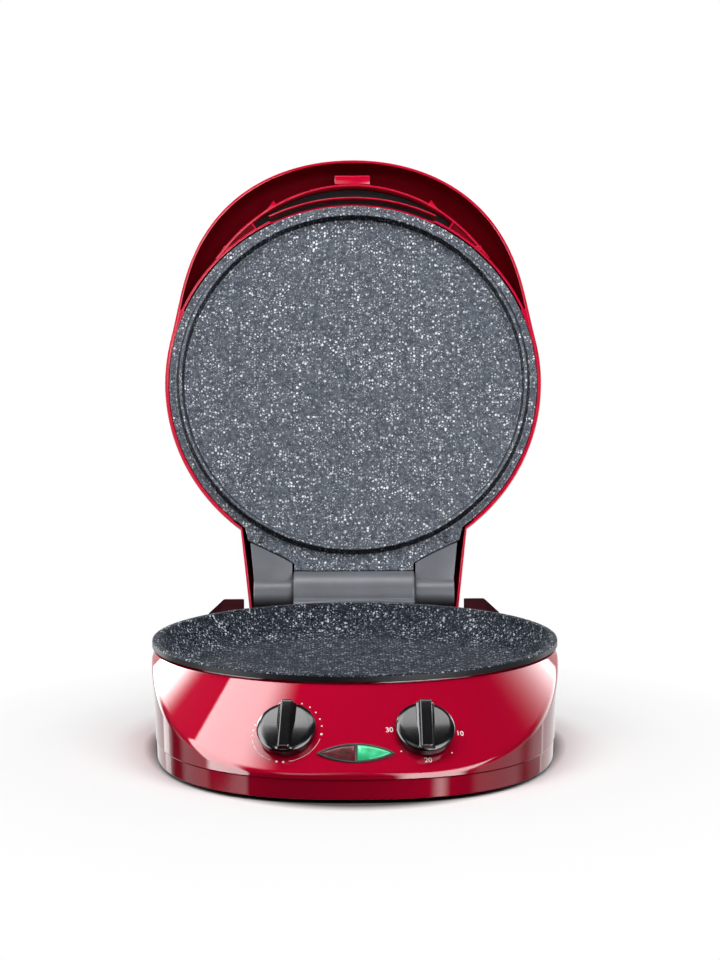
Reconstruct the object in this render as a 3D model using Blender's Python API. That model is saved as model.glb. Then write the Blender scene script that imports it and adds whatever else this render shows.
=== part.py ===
"""Electric pie maker: a round base with a sloped control panel, a fixed pan, and a lid on a rear hinge.

Every length is in metres. The base, pan and hinge are modelled about the pan's upright axis, with heights
from the table. The lid is modelled in its own frame: x across, y from the hinge axis towards the handle,
z out of the cooking face.
"""

import math

import bmesh
import bpy
from mathutils import Vector

MM = 0.001

# Clearances and cutting
GAP = 0.3 * MM
RUNNING = 0.08 * MM
PRESSED = 0.05 * MM
OVERRUN = 4 * MM

# Pan
PAN_RADIUS = 170 * MM
PAN_FLARE = 34 * MM
PAN_DEPTH = 26 * MM
PAN_WALL = 3 * MM
PAN_LIP_HEIGHT = 5.6 * MM
PAN_LIP_WIDTH = 6.5 * MM
PAN_LIP_ROUND = 1.6 * MM
PAN_THROAT = 1.6 * MM
PAN_FLOOR_RADIUS = PAN_RADIUS - PAN_FLARE

# Base shell: its plan is a circle behind, and a deeper rounded front that carries the panel
RIM_HEIGHT = 90 * MM
BASE_TOP_DROP = 7 * MM
LIP_OVERHANG = 1.3 * MM
BASE_TAPER = 3.9 * MM
BASE_FLARE = 2.2
FRONT_SHIFT = 30 * MM
FRONT_REACH = 26 * MM
FRONT_SQUARENESS = 2.45
PANEL_SLOPE = math.radians(45.6)
BASE_WALL = 2.6 * MM
FOOT_CLEARANCE = 3 * MM
PLINTH_HEIGHT = 15.5 * MM
PLINTH_STEP = 0.7 * MM
PLINTH_UNDERCUT = 0.6 * MM
CREASE_ROUND = 4 * MM
TOP_EDGE = 1.2 * MM
SIDE_PANEL_RUN = 3 * MM
COLLAR_WIDTH = 2.4 * MM
COLLAR_SIDE_GAP = 0.6 * MM
BASE_TOP_RADIUS = PAN_RADIUS - LIP_OVERHANG
BASE_FOOT_RADIUS = BASE_TOP_RADIUS - BASE_TAPER
FRONT_DEPTH = PAN_RADIUS + FRONT_REACH

# Underside, with places given by their azimuth from the front and their distance inside the wall
COVER_THICKNESS = 2 * MM
PAD_RADIUS = 75 * MM
PAD_HEIGHT = 1 * MM
FOOT_RADIUS = 9 * MM
FOOT_EDGE = 1 * MM
FEET_FRONT_AZIMUTH = math.radians(37.5)
FEET_FRONT_INSET = 25.1 * MM
FEET_REAR_AZIMUTH = math.radians(147.4)
FEET_REAR_INSET = 20.1 * MM
COVER_SCREW_RADIUS = 3.5 * MM
COVER_SCREW_HEIGHT = 1.6 * MM
SCREWS_FRONT_AZIMUTH = math.radians(25)
SCREWS_FRONT_INSET = 47.8 * MM
SCREWS_REAR_AZIMUTH = math.radians(116.5)
SCREWS_REAR_INSET = 30.7 * MM
VENT_LENGTH = 40 * MM
VENT_WIDTH = 4 * MM
VENT_PITCH = 12 * MM
VENT_FRONT_INSET = 46.8 * MM
VENT_COUNT = 5
VENT_FRONT = BASE_FOOT_RADIUS - VENT_FRONT_INSET

# Controls on the panel, placed by the distance down the slope from its top edge
KNOB_SPREAD = math.radians(15.5)
KNOB_FACING = math.radians(8)
KNOB_DOWN = 46 * MM
KNOB_RADIUS = 23.2 * MM
KNOB_FACE_RADIUS = 21.3 * MM
KNOB_LIFT = 1.9 * MM
KNOB_DISC_HEIGHT = 6.5 * MM
KNOB_EDGE = 0.8 * MM
GRIP_HEIGHT = 6 * MM
GRIP_HALF_WIDTH = 4.5 * MM
GRIP_FOOT_HALF_WIDTH = 7.2 * MM
GRIP_FOOT_HEIGHT = 1.4 * MM
GRIP_HALF_LENGTH = 21.5 * MM
GRIP_EDGE = 1.4 * MM
THERMOSTAT_POINTS = math.radians(2)
TIMER_POINTS = math.radians(-4.5)
SHAFT_RADIUS = 3 * MM
SHAFT_HOLE_GAP = 1 * MM
SHAFT_IN_BODY = 9 * MM
THERMOSTAT_RADIUS = 15 * MM
THERMOSTAT_DEPTH = 16 * MM
TIMER_RADIUS = 18 * MM
BELL_CLEARANCE = 2 * MM
BELL_RADIUS = 15 * MM
BELL_HEIGHT = 7 * MM
BELL_WALL = 1.2 * MM
PANEL_SAG = 2.6 * MM

# Indicator lamps
INDICATOR_DOWN = 64 * MM
INDICATOR_HALF_LENGTH = 30.5 * MM
INDICATOR_HALF_HEIGHT = 8.6 * MM
BEZEL_RIM = 1.4 * MM
BEZEL_BAR = 1.8 * MM
BEZEL_PROUD = 1.0 * MM
BEZEL_DEPTH = 3.2 * MM
LENS_PROUD = 1.5 * MM
HOLDER_HALF_LENGTH = 21 * MM
HOLDER_HALF_HEIGHT = 6.4 * MM
HOLDER_DEPTH = 11 * MM
HOLDER_WALL = 1.5 * MM
LAMP_RADIUS = 2.6 * MM
LAMP_LENGTH = 14 * MM

# Heating
ELEMENT_INSET = 36 * MM
ELEMENT_TUBE = 3.5 * MM
ELEMENT_OPENING = math.radians(16)
ELEMENT_LEG = 18 * MM
SHIELD_INSET = 5 * MM
SHIELD_DEPTH = 19 * MM
SHIELD_WALL = 1 * MM
SHIELD_FLANGE = 3 * MM
SHIELD_TAPER = 7 * MM
SHIELD_HOLE_GAP = 1 * MM
ELEMENT_RADIUS = PAN_FLOOR_RADIUS - ELEMENT_INSET
SHIELD_RADIUS = PAN_FLOOR_RADIUS - SHIELD_INSET

# Wiring pieces inside the base
TERMINAL_LENGTH = 40 * MM
TERMINAL_WIDTH = 17 * MM
TERMINAL_HEIGHT = 14 * MM
TERMINAL_ACROSS = -62 * MM
TERMINAL_BACK = 85 * MM
FUSE_RADIUS = 2.2 * MM
FUSE_LENGTH = 12 * MM
FUSE_BACK = 45 * MM
GLAND_AZIMUTH = math.radians(152)
GLAND_HEIGHT = 32 * MM
GLAND_RADIUS = 6 * MM
GLAND_FLANGE_RADIUS = 9 * MM
GLAND_FLANGE = 2.5 * MM
GLAND_BORE = 3.6 * MM
GLAND_INSIDE = 5 * MM

# Hinge
HINGE_REACH = 29.5 * MM
HINGE_RISE = 2 * MM
KNUCKLE_RADIUS = 20.7 * MM
KNUCKLE_HALF_LENGTH = 54.3 * MM
KNUCKLE_DROP = 46 * MM
KNUCKLE_LEDGE_RISE = 1.2 * MM
KNUCKLE_RIM_GAP = 2.2 * MM
KNUCKLE_TAPER = 3 * MM
BARREL_RADIUS = 13 * MM
KNUCKLE_SIDE_GAP = 1.4 * MM
BARREL_LENGTH = 34.6 * MM
PIN_RADIUS = 3 * MM
PIN_IN_KNUCKLE = 15 * MM
HINGE_BACK = PAN_RADIUS + HINGE_REACH
BARREL_INNER = KNUCKLE_HALF_LENGTH + KNUCKLE_SIDE_GAP
BARREL_OUTER = BARREL_INNER + BARREL_LENGTH

# Rear stands
STAND_SIDE_GAP = 9.5 * MM
STAND_WIDTH = 32.2 * MM
STAND_REACH = 12.5 * MM
STAND_LOW = 22 * MM
STAND_TOP_DROP = 4 * MM
STAND_CHAMFER_ACROSS = 14 * MM
STAND_CHAMFER_DOWN = 13 * MM
STAND_REAR_SLOPE = 8 * MM
STAND_INNER = BARREL_OUTER + STAND_SIDE_GAP
STAND_OUTER = STAND_INNER + STAND_WIDTH
STAND_BACK = HINGE_BACK + STAND_REACH

# Lid, leaning back at rest, measured from the hinge axis
LID_LEAN = math.radians(20.4)
PLATE_CENTRE_INSET = 0.5 * MM
PLATE_SIDE_GAP = 1 * MM
PLATE_THICKNESS = 3 * MM
PLATE_EDGE = 1 * MM
RING_INSET = 6.7 * MM
RING_OUTER_SLOPE = 2.8 * MM
RING_CREST = 2.2 * MM
RING_INNER_SLOPE = 2.3 * MM
RING_HEIGHT = 8 * MM
TAIL_START_REACH = 2.85 * MM
TAIL_KNUCKLE_GAP = 1 * MM
SHOULDER_REACH = 5.7 * MM
SHOULDER_RISE = 28.3 * MM
WAIST_REACH = 8.8 * MM
WAIST_RISE = 13.3 * MM
TONGUE_INSET = 7.8 * MM
TONGUE_RISE = 5.3 * MM
PLATE_SCREW_INSET = 12 * MM
PLATE_SCREW_RISE = 0.5 * MM
PLATE_SCREW_RADIUS = 1.6 * MM
PLATE_SCREW_HEAD = 3.2 * MM
PLATE_SCREW_HEAD_HEIGHT = 1.2 * MM
PLATE_SCREW_LENGTH = 5.5 * MM
PLATE_CENTRE = HINGE_BACK - PLATE_CENTRE_INSET
PLATE_RADIUS = PAN_RADIUS - PLATE_SIDE_GAP
RING_FOOT_OUTER = PLATE_RADIUS - RING_INSET
RING_OUTER = RING_FOOT_OUTER - RING_OUTER_SLOPE
RING_INNER = RING_OUTER - RING_CREST
RING_FOOT_INNER = RING_INNER - RING_INNER_SLOPE
TAIL_END = KNUCKLE_RADIUS + TAIL_KNUCKLE_GAP
TAIL_SHOULDER = (BARREL_OUTER + SHOULDER_REACH, TAIL_END + SHOULDER_RISE)
TAIL_WAIST = (BARREL_INNER + WAIST_REACH, TAIL_END + WAIST_RISE)
TAIL_TONGUE = (KNUCKLE_HALF_LENGTH - TONGUE_INSET, TAIL_END + TONGUE_RISE)
TAIL_START = math.pi - math.asin((TAIL_SHOULDER[0] + TAIL_START_REACH) / PLATE_RADIUS)
PLATE_SCREW_ACROSS = TAIL_SHOULDER[0] - PLATE_SCREW_INSET
PLATE_SCREW_ALONG = TAIL_SHOULDER[1] + PLATE_SCREW_RISE

# Lid shell and its handle
SHELL_SIDE_GAP = 4 * MM
SHELL_WALL = 2.6 * MM
SHELL_DRAFT = 2.6 * MM
SHELL_SIDE = 20 * MM
DOME_DEPTH = 54 * MM
DOME_DROP = 10 * MM
SHOULDER_WIDTH = 23 * MM
HANDLE_REACH = 40.8 * MM
HANDLE_ANGLE = math.radians(78)
HANDLE_FULLNESS = 2.5
HANDLE_SIDE = 12 * MM
SHOULDER_CURVE = 2.2
HANDLE_CURVE = 1.35
SHELL_TAIL_SIDE_GAP = 3.8 * MM
SHELL_TAIL_SPREAD = 8.8 * MM
SHELL_TAIL_END_GAP = 4 * MM
TAIL_CORNER_TURN = math.radians(0.45)
TAIL_INSET_SHARE = 0.9
NOTCH_SIDE_GAP = 2.7 * MM
NOTCH_END_GAP = 3.8 * MM
RIM_SETBACK = 0.6 * MM
SKIN_GAP = 0.5 * MM
SHELL_RADIUS = PLATE_RADIUS + SHELL_SIDE_GAP
DOME_RADIUS = SHELL_RADIUS - SHOULDER_WIDTH
SHELL_TAIL_HALF_WIDTH = BARREL_OUTER + SHELL_TAIL_SIDE_GAP
SHELL_TAIL_ANGLE = math.pi - math.asin((SHELL_TAIL_HALF_WIDTH + SHELL_TAIL_SPREAD) / SHELL_RADIUS)
SHELL_TAIL_END = -BARREL_RADIUS - SHELL_TAIL_END_GAP
NOTCH_HALF_WIDTH = KNUCKLE_HALF_LENGTH + NOTCH_SIDE_GAP
NOTCH_END = KNUCKLE_RADIUS + NOTCH_END_GAP

# Walls inside the handle
RING_WALL = 2.2 * MM
RING_WALL_ANGLE = math.radians(61)
INNER_WALL = 2.8 * MM
INNER_WALL_REACH = 17.2 * MM
INNER_WALL_ANGLE = math.radians(47)
INNER_WALL_END_ANGLE = math.radians(50)
INNER_WALL_CURVE = 1.4
VENT_RIB_GAP = 2.8 * MM
VENT_RIB_WALL = 2.1 * MM
VENT_RIB_ANGLE = math.radians(26)
INSERT_ANGLE = math.radians(40)
INSERT_DEPTH = 9 * MM
INSERT_THICKNESS = 2 * MM
CATCH_HALF_WIDTH = 16.5 * MM
CATCH_DEPTH = 8.5 * MM
CATCH_LENGTH = 9 * MM
CATCH_SETBACK = 1.4 * MM
VENT_RIB_RADIUS = SHELL_RADIUS + VENT_RIB_GAP + VENT_RIB_WALL

# Lid frame and carrier
ARM_THICKNESS = 9 * MM
ARM_SETBACK = 1 * MM
ARM_EDGE_GAP = 0.5 * MM
TONGUE_PAST_SCREW = 9.5 * MM
TONGUE_SIDE_INSET = 3 * MM
BRIDGE_THICKNESS = 4.5 * MM
CARRIER_INSET = 0.8 * MM
CARRIER_SHIELD_GAP = 4 * MM
CARRIER_THICKNESS = 3.6 * MM
CARRIER_ANGLE = math.radians(136)
ARM_TONGUE_END = PLATE_SCREW_ALONG + TONGUE_PAST_SCREW
ARM_TONGUE_OUTER = TAIL_SHOULDER[0] - TONGUE_SIDE_INSET
CARRIER_OUTER = PLATE_RADIUS - CARRIER_INSET
CARRIER_INNER = SHIELD_RADIUS + SHIELD_FLANGE + CARRIER_SHIELD_GAP

# Drawing resolution
TURN_STEPS = 64
SMALL_STEPS = 24
SHAFT_STEPS = 32
BASE_STEPS = 80
WALL_STEPS = 24
KNUCKLE_STEPS = 20
RIM_WALL_STEPS = 32

# Heights and places worked out from the sizes above
BASE_TOP = RIM_HEIGHT - BASE_TOP_DROP
PLINTH_TOP = FOOT_CLEARANCE + PLINTH_HEIGHT
PAN_FLOOR_TOP = RIM_HEIGHT - PAN_DEPTH
PAN_UNDERSIDE = PAN_FLOOR_TOP - PAN_WALL
FLANGE_UNDERSIDE = RIM_HEIGHT - PAN_WALL
COLLAR_OUTER = PAN_RADIUS - PAN_WALL - COLLAR_SIDE_GAP
COLLAR_INNER = COLLAR_OUTER - COLLAR_WIDTH
COLLAR_TOP = FLANGE_UNDERSIDE - GAP
COVER_BOTTOM = FOOT_CLEARANCE + PAD_HEIGHT
COVER_TOP = COVER_BOTTOM + COVER_THICKNESS
HINGE_HEIGHT = RIM_HEIGHT + HINGE_RISE
KNOB_SEAT_HEIGHT = BASE_TOP - KNOB_DOWN * math.sin(PANEL_SLOPE)
BELL_ROOM = KNOB_SEAT_HEIGHT - COVER_TOP - BELL_CLEARANCE - BELL_RADIUS * math.sin(PANEL_SLOPE)
TIMER_DEPTH = BELL_ROOM / math.cos(PANEL_SLOPE) - BASE_WALL - PANEL_SAG - GAP - BELL_HEIGHT

# Finishes
RED = "red_lacquer"
GRANITE = "granite_coating"
GREY = "grey_plastic"
BLACK = "black_plastic"
STEEL = "bright_steel"
DARK_STEEL = "black_steel"
RUBBER = "rubber"
CERAMIC = "pale_ceramic"
LAMP_GLASS = "lamp_glass"

COLOURS = {
    RED: ((0.38, 0.006, 0.02), 0.25, 0.5),
    GRANITE: ((0.06, 0.07, 0.085), 0.55, 0.0),
    GREY: ((0.12, 0.125, 0.14), 0.45, 0.0),
    BLACK: ((0.01, 0.01, 0.011), 0.2, 0.0),
    STEEL: ((0.6, 0.6, 0.6), 0.3, 1.0),
    DARK_STEEL: ((0.05, 0.05, 0.05), 0.5, 0.6),
    RUBBER: ((0.02, 0.02, 0.02), 0.8, 0.0),
    "red_lens": ((0.2, 0.005, 0.005), 0.1, 0.0),
    "green_lens": ((0.05, 0.7, 0.35), 0.1, 0.0),
    CERAMIC: ((0.75, 0.72, 0.65), 0.6, 0.0),
    LAMP_GLASS: ((0.8, 0.75, 0.7), 0.05, 0.0),
}


# Scene and materials


def clear_scene():
    for found in list(bpy.data.objects):
        bpy.data.objects.remove(found, do_unlink=True)


def finish_of(slot):
    """The Principled material of this name, made once."""
    found = bpy.data.materials.get(slot)
    if found:
        return found
    colour, roughness, metallic = COLOURS[slot]
    made = bpy.data.materials.new(slot)
    made.use_nodes = True
    shader = made.node_tree.nodes["Principled BSDF"]
    shader.inputs["Base Color"].default_value = (*colour, 1)
    shader.inputs["Roughness"].default_value = roughness
    shader.inputs["Metallic"].default_value = metallic
    made.diffuse_color = (*colour, 1)
    return made


def empty(name, parent=None, location=(0, 0, 0), turn=(0, 0, 0)):
    made = bpy.data.objects.new(name, None)
    bpy.context.scene.collection.objects.link(made)
    made.parent = parent
    made.location = location
    made.rotation_euler = turn
    return made


# Mesh builders


def solid(name, points, faces, slot, parent=None):
    """A closed mesh object from points and faces, with its faces turned outward."""
    mesh = bpy.data.meshes.new(name)
    mesh.from_pydata([tuple(point) for point in points], [], faces)
    work = bmesh.new()
    work.from_mesh(mesh)
    bmesh.ops.recalc_face_normals(work, faces=work.faces)
    if work.calc_volume(signed=True) < 0:
        bmesh.ops.reverse_faces(work, faces=work.faces)
    work.to_mesh(mesh)
    work.free()
    mesh.shade_smooth()
    mesh.set_sharp_from_angle(angle=math.radians(35))
    mesh.materials.append(finish_of(slot))
    made = bpy.data.objects.new(name, mesh)
    bpy.context.scene.collection.objects.link(made)
    made.parent = parent
    return made


def loft(name, sections, slot, parent=None, around=True, poles=(False, False), looped=False):
    """A solid through sections of equal length.

    around joins the last section to the first. poles says which end of every section is one shared
    point. looped joins each section's last point to its first.
    """
    count = len(sections[0])
    points = [point for section in sections for point in section]
    total = len(sections)

    def index(row, column):
        if column == 0 and poles[0]:
            return 0
        if column == count - 1 and poles[1]:
            return count - 1
        return (row % total) * count + column

    faces = []
    for row in range(total if around else total - 1):
        for column in range(count if looped else count - 1):
            after = (column + 1) % count
            corners = [index(row, column), index(row + 1, column), index(row + 1, after), index(row, after)]
            kept = list(dict.fromkeys(corners))
            if len(kept) > 2:
                faces.append(kept)
    if not around:
        faces.append([index(0, column) for column in range(count)])
        faces.append([index(total - 1, column) for column in range(count)])
    used = sorted({corner for face in faces for corner in face})
    renumbered = {old: new for new, old in enumerate(used)}
    faces = [[renumbered[corner] for corner in face] for face in faces]
    return solid(name, [points[old] for old in used], faces, slot, parent)


def around_axis(radius, height, azimuth):
    """A point at this azimuth, counted from the front (-y) towards +x."""
    return Vector((radius * math.sin(azimuth), -radius * math.cos(azimuth), height))


def full_turn(steps):
    return [2 * math.pi * step / steps for step in range(steps)]


def on_circle(centre, radius, turns):
    """Points of a circle, as pairs."""
    return [(centre[0] + radius * math.cos(turn), centre[1] + radius * math.sin(turn)) for turn in turns]


def span(low, high, steps):
    return [low + (high - low) * step / steps for step in range(steps + 1)]


def turned(name, profile, slot, parent=None, steps=TURN_STEPS, looped=False):
    """A solid turned about z from (radius, height) points, which start and end on the axis unless looped."""
    turns = full_turn(steps)
    sections = [[around_axis(radius, height, turn) for radius, height in profile] for turn in turns]
    ends = (not looped, not looped)
    return loft(name, sections, slot, parent, poles=ends, looped=looped)


def prism(name, outline, low, high, slot, parent=None, along="z"):
    """An outline extruded from low to high along an axis; its pairs are the other two axes in order."""
    place = {
        "x": lambda u, v, w: Vector((w, u, v)),
        "y": lambda u, v, w: Vector((u, w, v)),
        "z": lambda u, v, w: Vector((u, v, w)),
    }[along]
    sections = [[place(u, v, level) for u, v in outline] for level in (low, high)]
    return loft(name, sections, slot, parent, around=False, looped=True)


def block(name, low, high, slot, parent=None):
    outline = [(low[0], low[1]), (high[0], low[1]), (high[0], high[1]), (low[0], high[1])]
    return prism(name, outline, low[2], high[2], slot, parent)


def rod(name, radius, low, high, slot, parent=None, along="z", steps=SMALL_STEPS, centre=(0, 0)):
    """A plain cylinder along an axis."""
    outline = on_circle(centre, radius, full_turn(steps))
    return prism(name, outline, low, high, slot, parent, along)


def hide_tool(tool):
    tool.hide_render = True
    tool.display_type = "WIRE"


def combine(target, tool, operation):
    """Cuts the tool from the target, or joins it to it, and hides the tool."""
    modifier = target.modifiers.new(tool.name, "BOOLEAN")
    modifier.operation = operation
    modifier.solver = "EXACT"
    modifier.object = tool
    hide_tool(tool)


def cut(target, *tools):
    for tool in tools:
        combine(target, tool, "DIFFERENCE")


def join(target, *tools):
    for tool in tools:
        combine(target, tool, "UNION")


def tube(name, points, radius, slot, parent=None):
    """A round tube along points, with closed ends."""
    curve = bpy.data.curves.new(name, "CURVE")
    curve.dimensions = "3D"
    curve.bevel_depth = radius
    curve.bevel_resolution = 2
    curve.use_fill_caps = True
    line = curve.splines.new("POLY")
    line.points.add(len(points) - 1)
    for knot, point in zip(line.points, points):
        knot.co = (*point, 1)
    curve.materials.append(finish_of(slot))
    made = bpy.data.objects.new(name, curve)
    bpy.context.scene.collection.objects.link(made)
    made.parent = parent
    return made


# Base plan


def base_half_width(height):
    """The plan's half width at a height: the sides flare out towards the pan."""
    share = max(height - FOOT_CLEARANCE, 0) / (BASE_TOP - FOOT_CLEARANCE)
    return BASE_FOOT_RADIUS + (BASE_TOP_RADIUS - BASE_FOOT_RADIUS) * share**BASE_FLARE


def wall_radius(azimuth, height):
    """Distance of the base's upright wall from the pan's axis, at an azimuth from the front."""
    half = base_half_width(height)
    across = abs(math.sin(azimuth))
    ahead = math.cos(azimuth)
    if ahead <= 0:
        return half
    if across * FRONT_SHIFT >= ahead * half:
        return half / across
    low = 0
    high = FRONT_SHIFT + FRONT_DEPTH + half
    for _ in range(WALL_STEPS * 2):
        middle = (low + high) / 2
        forward = max(middle * ahead - FRONT_SHIFT, 0) / FRONT_DEPTH
        value = (middle * across / half) ** FRONT_SQUARENESS + forward ** FRONT_SQUARENESS
        if value > 1:
            high = middle
        else:
            low = middle
    return low


def panel_height(radius, inset=0):
    """Height of the sloped panel at a distance from the pan's axis, or of its underside."""
    return BASE_TOP - (radius - BASE_TOP_RADIUS) * math.tan(PANEL_SLOPE) - inset / math.cos(PANEL_SLOPE)


def crease(azimuth):
    """Where the sloped panel meets the upright wall, as (radius, height)."""
    height = BASE_TOP
    for _ in range(SMALL_STEPS):
        height = panel_height(wall_radius(azimuth, height))
    height = min(height, BASE_TOP - SIDE_PANEL_RUN)
    return Vector((wall_radius(azimuth, height), height))


def rounded_corner(before, corner, after, radius, steps=3):
    """Points of a curve that rounds a corner between two straight runs."""
    reach_share = 0.45
    start = corner + (before - corner).normalized() * min(radius, (before - corner).length * reach_share)
    end = corner + (after - corner).normalized() * min(radius, (after - corner).length * reach_share)
    points = []
    for step in range(steps + 1):
        part = step / steps
        points.append(start * (1 - part) ** 2 + corner * 2 * part * (1 - part) + end * part**2)
    return points


def base_outer_profile(azimuth):
    """The base's outer skin at an azimuth, bottom to top."""
    foot = wall_radius(azimuth, PLINTH_TOP)
    corner = crease(azimuth)
    wall_shares = (0, 0.4, 0.75)
    wall_low = PLINTH_TOP + PLINTH_STEP
    heights = [wall_low + (corner.y - wall_low) * share for share in wall_shares]
    wall = [Vector((wall_radius(azimuth, height), height)) for height in heights]
    top = Vector((BASE_TOP_RADIUS, BASE_TOP))
    inward = Vector((BASE_TOP_RADIUS - TOP_EDGE, BASE_TOP))
    return [
        Vector((foot - PLINTH_STEP - PLINTH_UNDERCUT, FOOT_CLEARANCE)),
        Vector((foot - PLINTH_STEP, PLINTH_TOP)),
        *wall,
        *rounded_corner(wall[-1], corner, top, CREASE_ROUND),
        top + (corner - top).normalized() * TOP_EDGE,
        inward,
    ]


def base_inner_profile(azimuth):
    """The base's inner skin at an azimuth, top to bottom, starting with the collar that carries the pan."""
    corner = crease(azimuth)
    inner_radius = corner.x - BASE_WALL
    foot = wall_radius(azimuth, PLINTH_TOP) - PLINTH_STEP - BASE_WALL
    return [
        Vector((COLLAR_OUTER, BASE_TOP)),
        Vector((COLLAR_OUTER, COLLAR_TOP)),
        Vector((COLLAR_INNER, COLLAR_TOP)),
        Vector((COLLAR_INNER, panel_height(COLLAR_INNER, BASE_WALL))),
        Vector((inner_radius, panel_height(inner_radius, BASE_WALL))),
        Vector((wall_radius(azimuth, PLINTH_TOP) - BASE_WALL - PLINTH_STEP, PLINTH_TOP + PLINTH_STEP)),
        Vector((foot - PLINTH_UNDERCUT, FOOT_CLEARANCE)),
    ]


def panel_seat(name, parent, azimuth, down, facing):
    """An empty on the panel: x across, y up the slope, z outwards and turned to face an azimuth."""
    radius = BASE_TOP_RADIUS + down * math.cos(PANEL_SLOPE)
    place = around_axis(radius, panel_height(radius), azimuth)
    return empty(name, parent, place, (PANEL_SLOPE, 0, facing))


def rear_envelope(name, parent):
    """A tool that clears the round back of the base and the pan's lip from whatever stands behind them."""
    lip = PAN_RADIUS + KNUCKLE_RIM_GAP
    profile = [
        (0, -OVERRUN),
        (base_half_width(-OVERRUN) + GAP, -OVERRUN),
        (base_half_width(BASE_TOP) + GAP, BASE_TOP),
        (lip, BASE_TOP + GAP),
        (lip, HINGE_HEIGHT + KNUCKLE_RADIUS + OVERRUN),
        (0, HINGE_HEIGHT + KNUCKLE_RADIUS + OVERRUN),
    ]
    return turned(name, profile[::-1], BLACK, parent)


# Base pieces


def almond(half_length, half_height, steps=10, from_x=None, to_x=None):
    """The outline of a pointed oval between two places along its length."""
    bow = (half_length**2 + half_height**2) / (2 * half_height)
    low = -half_length if from_x is None else from_x
    high = half_length if to_x is None else to_x

    def edge(x):
        return math.sqrt(max(bow**2 - x**2, 0)) - (bow - half_height)

    lower = [(x, -edge(x)) for x in span(low, high, steps)]
    upper = [(x, edge(x)) for x in span(high, low, steps)]
    outline = []
    for point in lower + upper:
        if not outline or (Vector(point) - Vector(outline[-1])).length > GAP / 2:
            outline.append(point)
    if (Vector(outline[0]) - Vector(outline[-1])).length <= GAP / 2:
        outline.pop()
    return outline


def make_base_shell(parent, seats):
    sections = []
    for azimuth in full_turn(BASE_STEPS):
        profile = base_outer_profile(azimuth) + base_inner_profile(azimuth)
        sections.append([around_axis(point.x, point.y, azimuth) for point in profile])
    shell = loft("base_shell", sections, RED, parent, looped=True)
    shaft_hole = SHAFT_RADIUS + SHAFT_HOLE_GAP
    for name in ("thermostat", "timer"):
        cut(shell, rod(f"{name}_shaft_hole", shaft_hole, -OVERRUN * 2, OVERRUN * 2, RED, seats[name]))
    window = almond(INDICATOR_HALF_LENGTH + GAP, INDICATOR_HALF_HEIGHT + GAP)
    cut(shell, prism("indicator_window", window, -OVERRUN * 2, OVERRUN, RED, seats["indicator"]))
    cut(shell, rod("gland_hole", GLAND_RADIUS + GAP, -OVERRUN * 3, OVERRUN * 2, RED, seats["gland"]))
    return shell


def make_base_cover(parent):
    outline = []
    for azimuth in full_turn(BASE_STEPS):
        foot = wall_radius(azimuth, PLINTH_TOP) - PLINTH_STEP - BASE_WALL - PLINTH_UNDERCUT
        edge = around_axis(foot - GAP, 0, azimuth)
        outline.append((edge.x, edge.y))
    cover = prism("base_cover", outline, COVER_BOTTOM, COVER_TOP, BLACK, parent)
    pad = rod("cover_pad", PAD_RADIUS, FOOT_CLEARANCE, COVER_TOP - GAP, BLACK, parent, steps=TURN_STEPS)
    join(cover, pad)
    for row in range(VENT_COUNT):
        middle = (row - (VENT_COUNT - 1) / 2) * VENT_PITCH - VENT_FRONT
        low = (-VENT_LENGTH / 2, middle - VENT_WIDTH / 2, COVER_BOTTOM - OVERRUN)
        high = (VENT_LENGTH / 2, middle + VENT_WIDTH / 2, COVER_TOP + OVERRUN)
        cut(cover, block(f"vent_slot_{row}", low, high, BLACK, parent))
    return cover


def four_places(front_azimuth, front_inset, rear_azimuth, rear_inset):
    """Places on the underside, named by corner, each at an azimuth and a distance inside the wall."""
    places = {}
    for end, azimuth, inset in (("front", front_azimuth, front_inset), ("rear", rear_azimuth, rear_inset)):
        radius = wall_radius(azimuth, PLINTH_TOP) - inset
        for side, turn in (("left", -azimuth), ("right", azimuth)):
            places[f"{end}_{side}"] = around_axis(radius, 0, turn)
    return places


def make_feet(parent):
    places = four_places(FEET_FRONT_AZIMUTH, FEET_FRONT_INSET, FEET_REAR_AZIMUTH, FEET_REAR_INSET)
    top = COVER_BOTTOM - GAP
    profile = [
        (0, top),
        (FOOT_RADIUS, top),
        (FOOT_RADIUS, FOOT_EDGE),
        (FOOT_RADIUS - FOOT_EDGE, 0),
        (0, 0),
    ]
    for name, place in places.items():
        foot = turned(f"foot_{name}", profile, RUBBER, parent, steps=SMALL_STEPS)
        foot.location = place


def make_cover_screws(parent):
    places = four_places(SCREWS_FRONT_AZIMUTH, SCREWS_FRONT_INSET, SCREWS_REAR_AZIMUTH, SCREWS_REAR_INSET)
    head_low = COVER_BOTTOM - GAP - COVER_SCREW_HEIGHT
    profile = [
        (0, COVER_BOTTOM - GAP),
        (COVER_SCREW_RADIUS, COVER_BOTTOM - GAP),
        (COVER_SCREW_RADIUS, COVER_BOTTOM - COVER_SCREW_HEIGHT),
        (COVER_SCREW_RADIUS - FOOT_EDGE, head_low),
        (0, head_low),
    ]
    for name, place in places.items():
        screw = turned(f"cover_screw_{name}", profile, STEEL, parent, steps=SMALL_STEPS)
        screw.location = place


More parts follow.
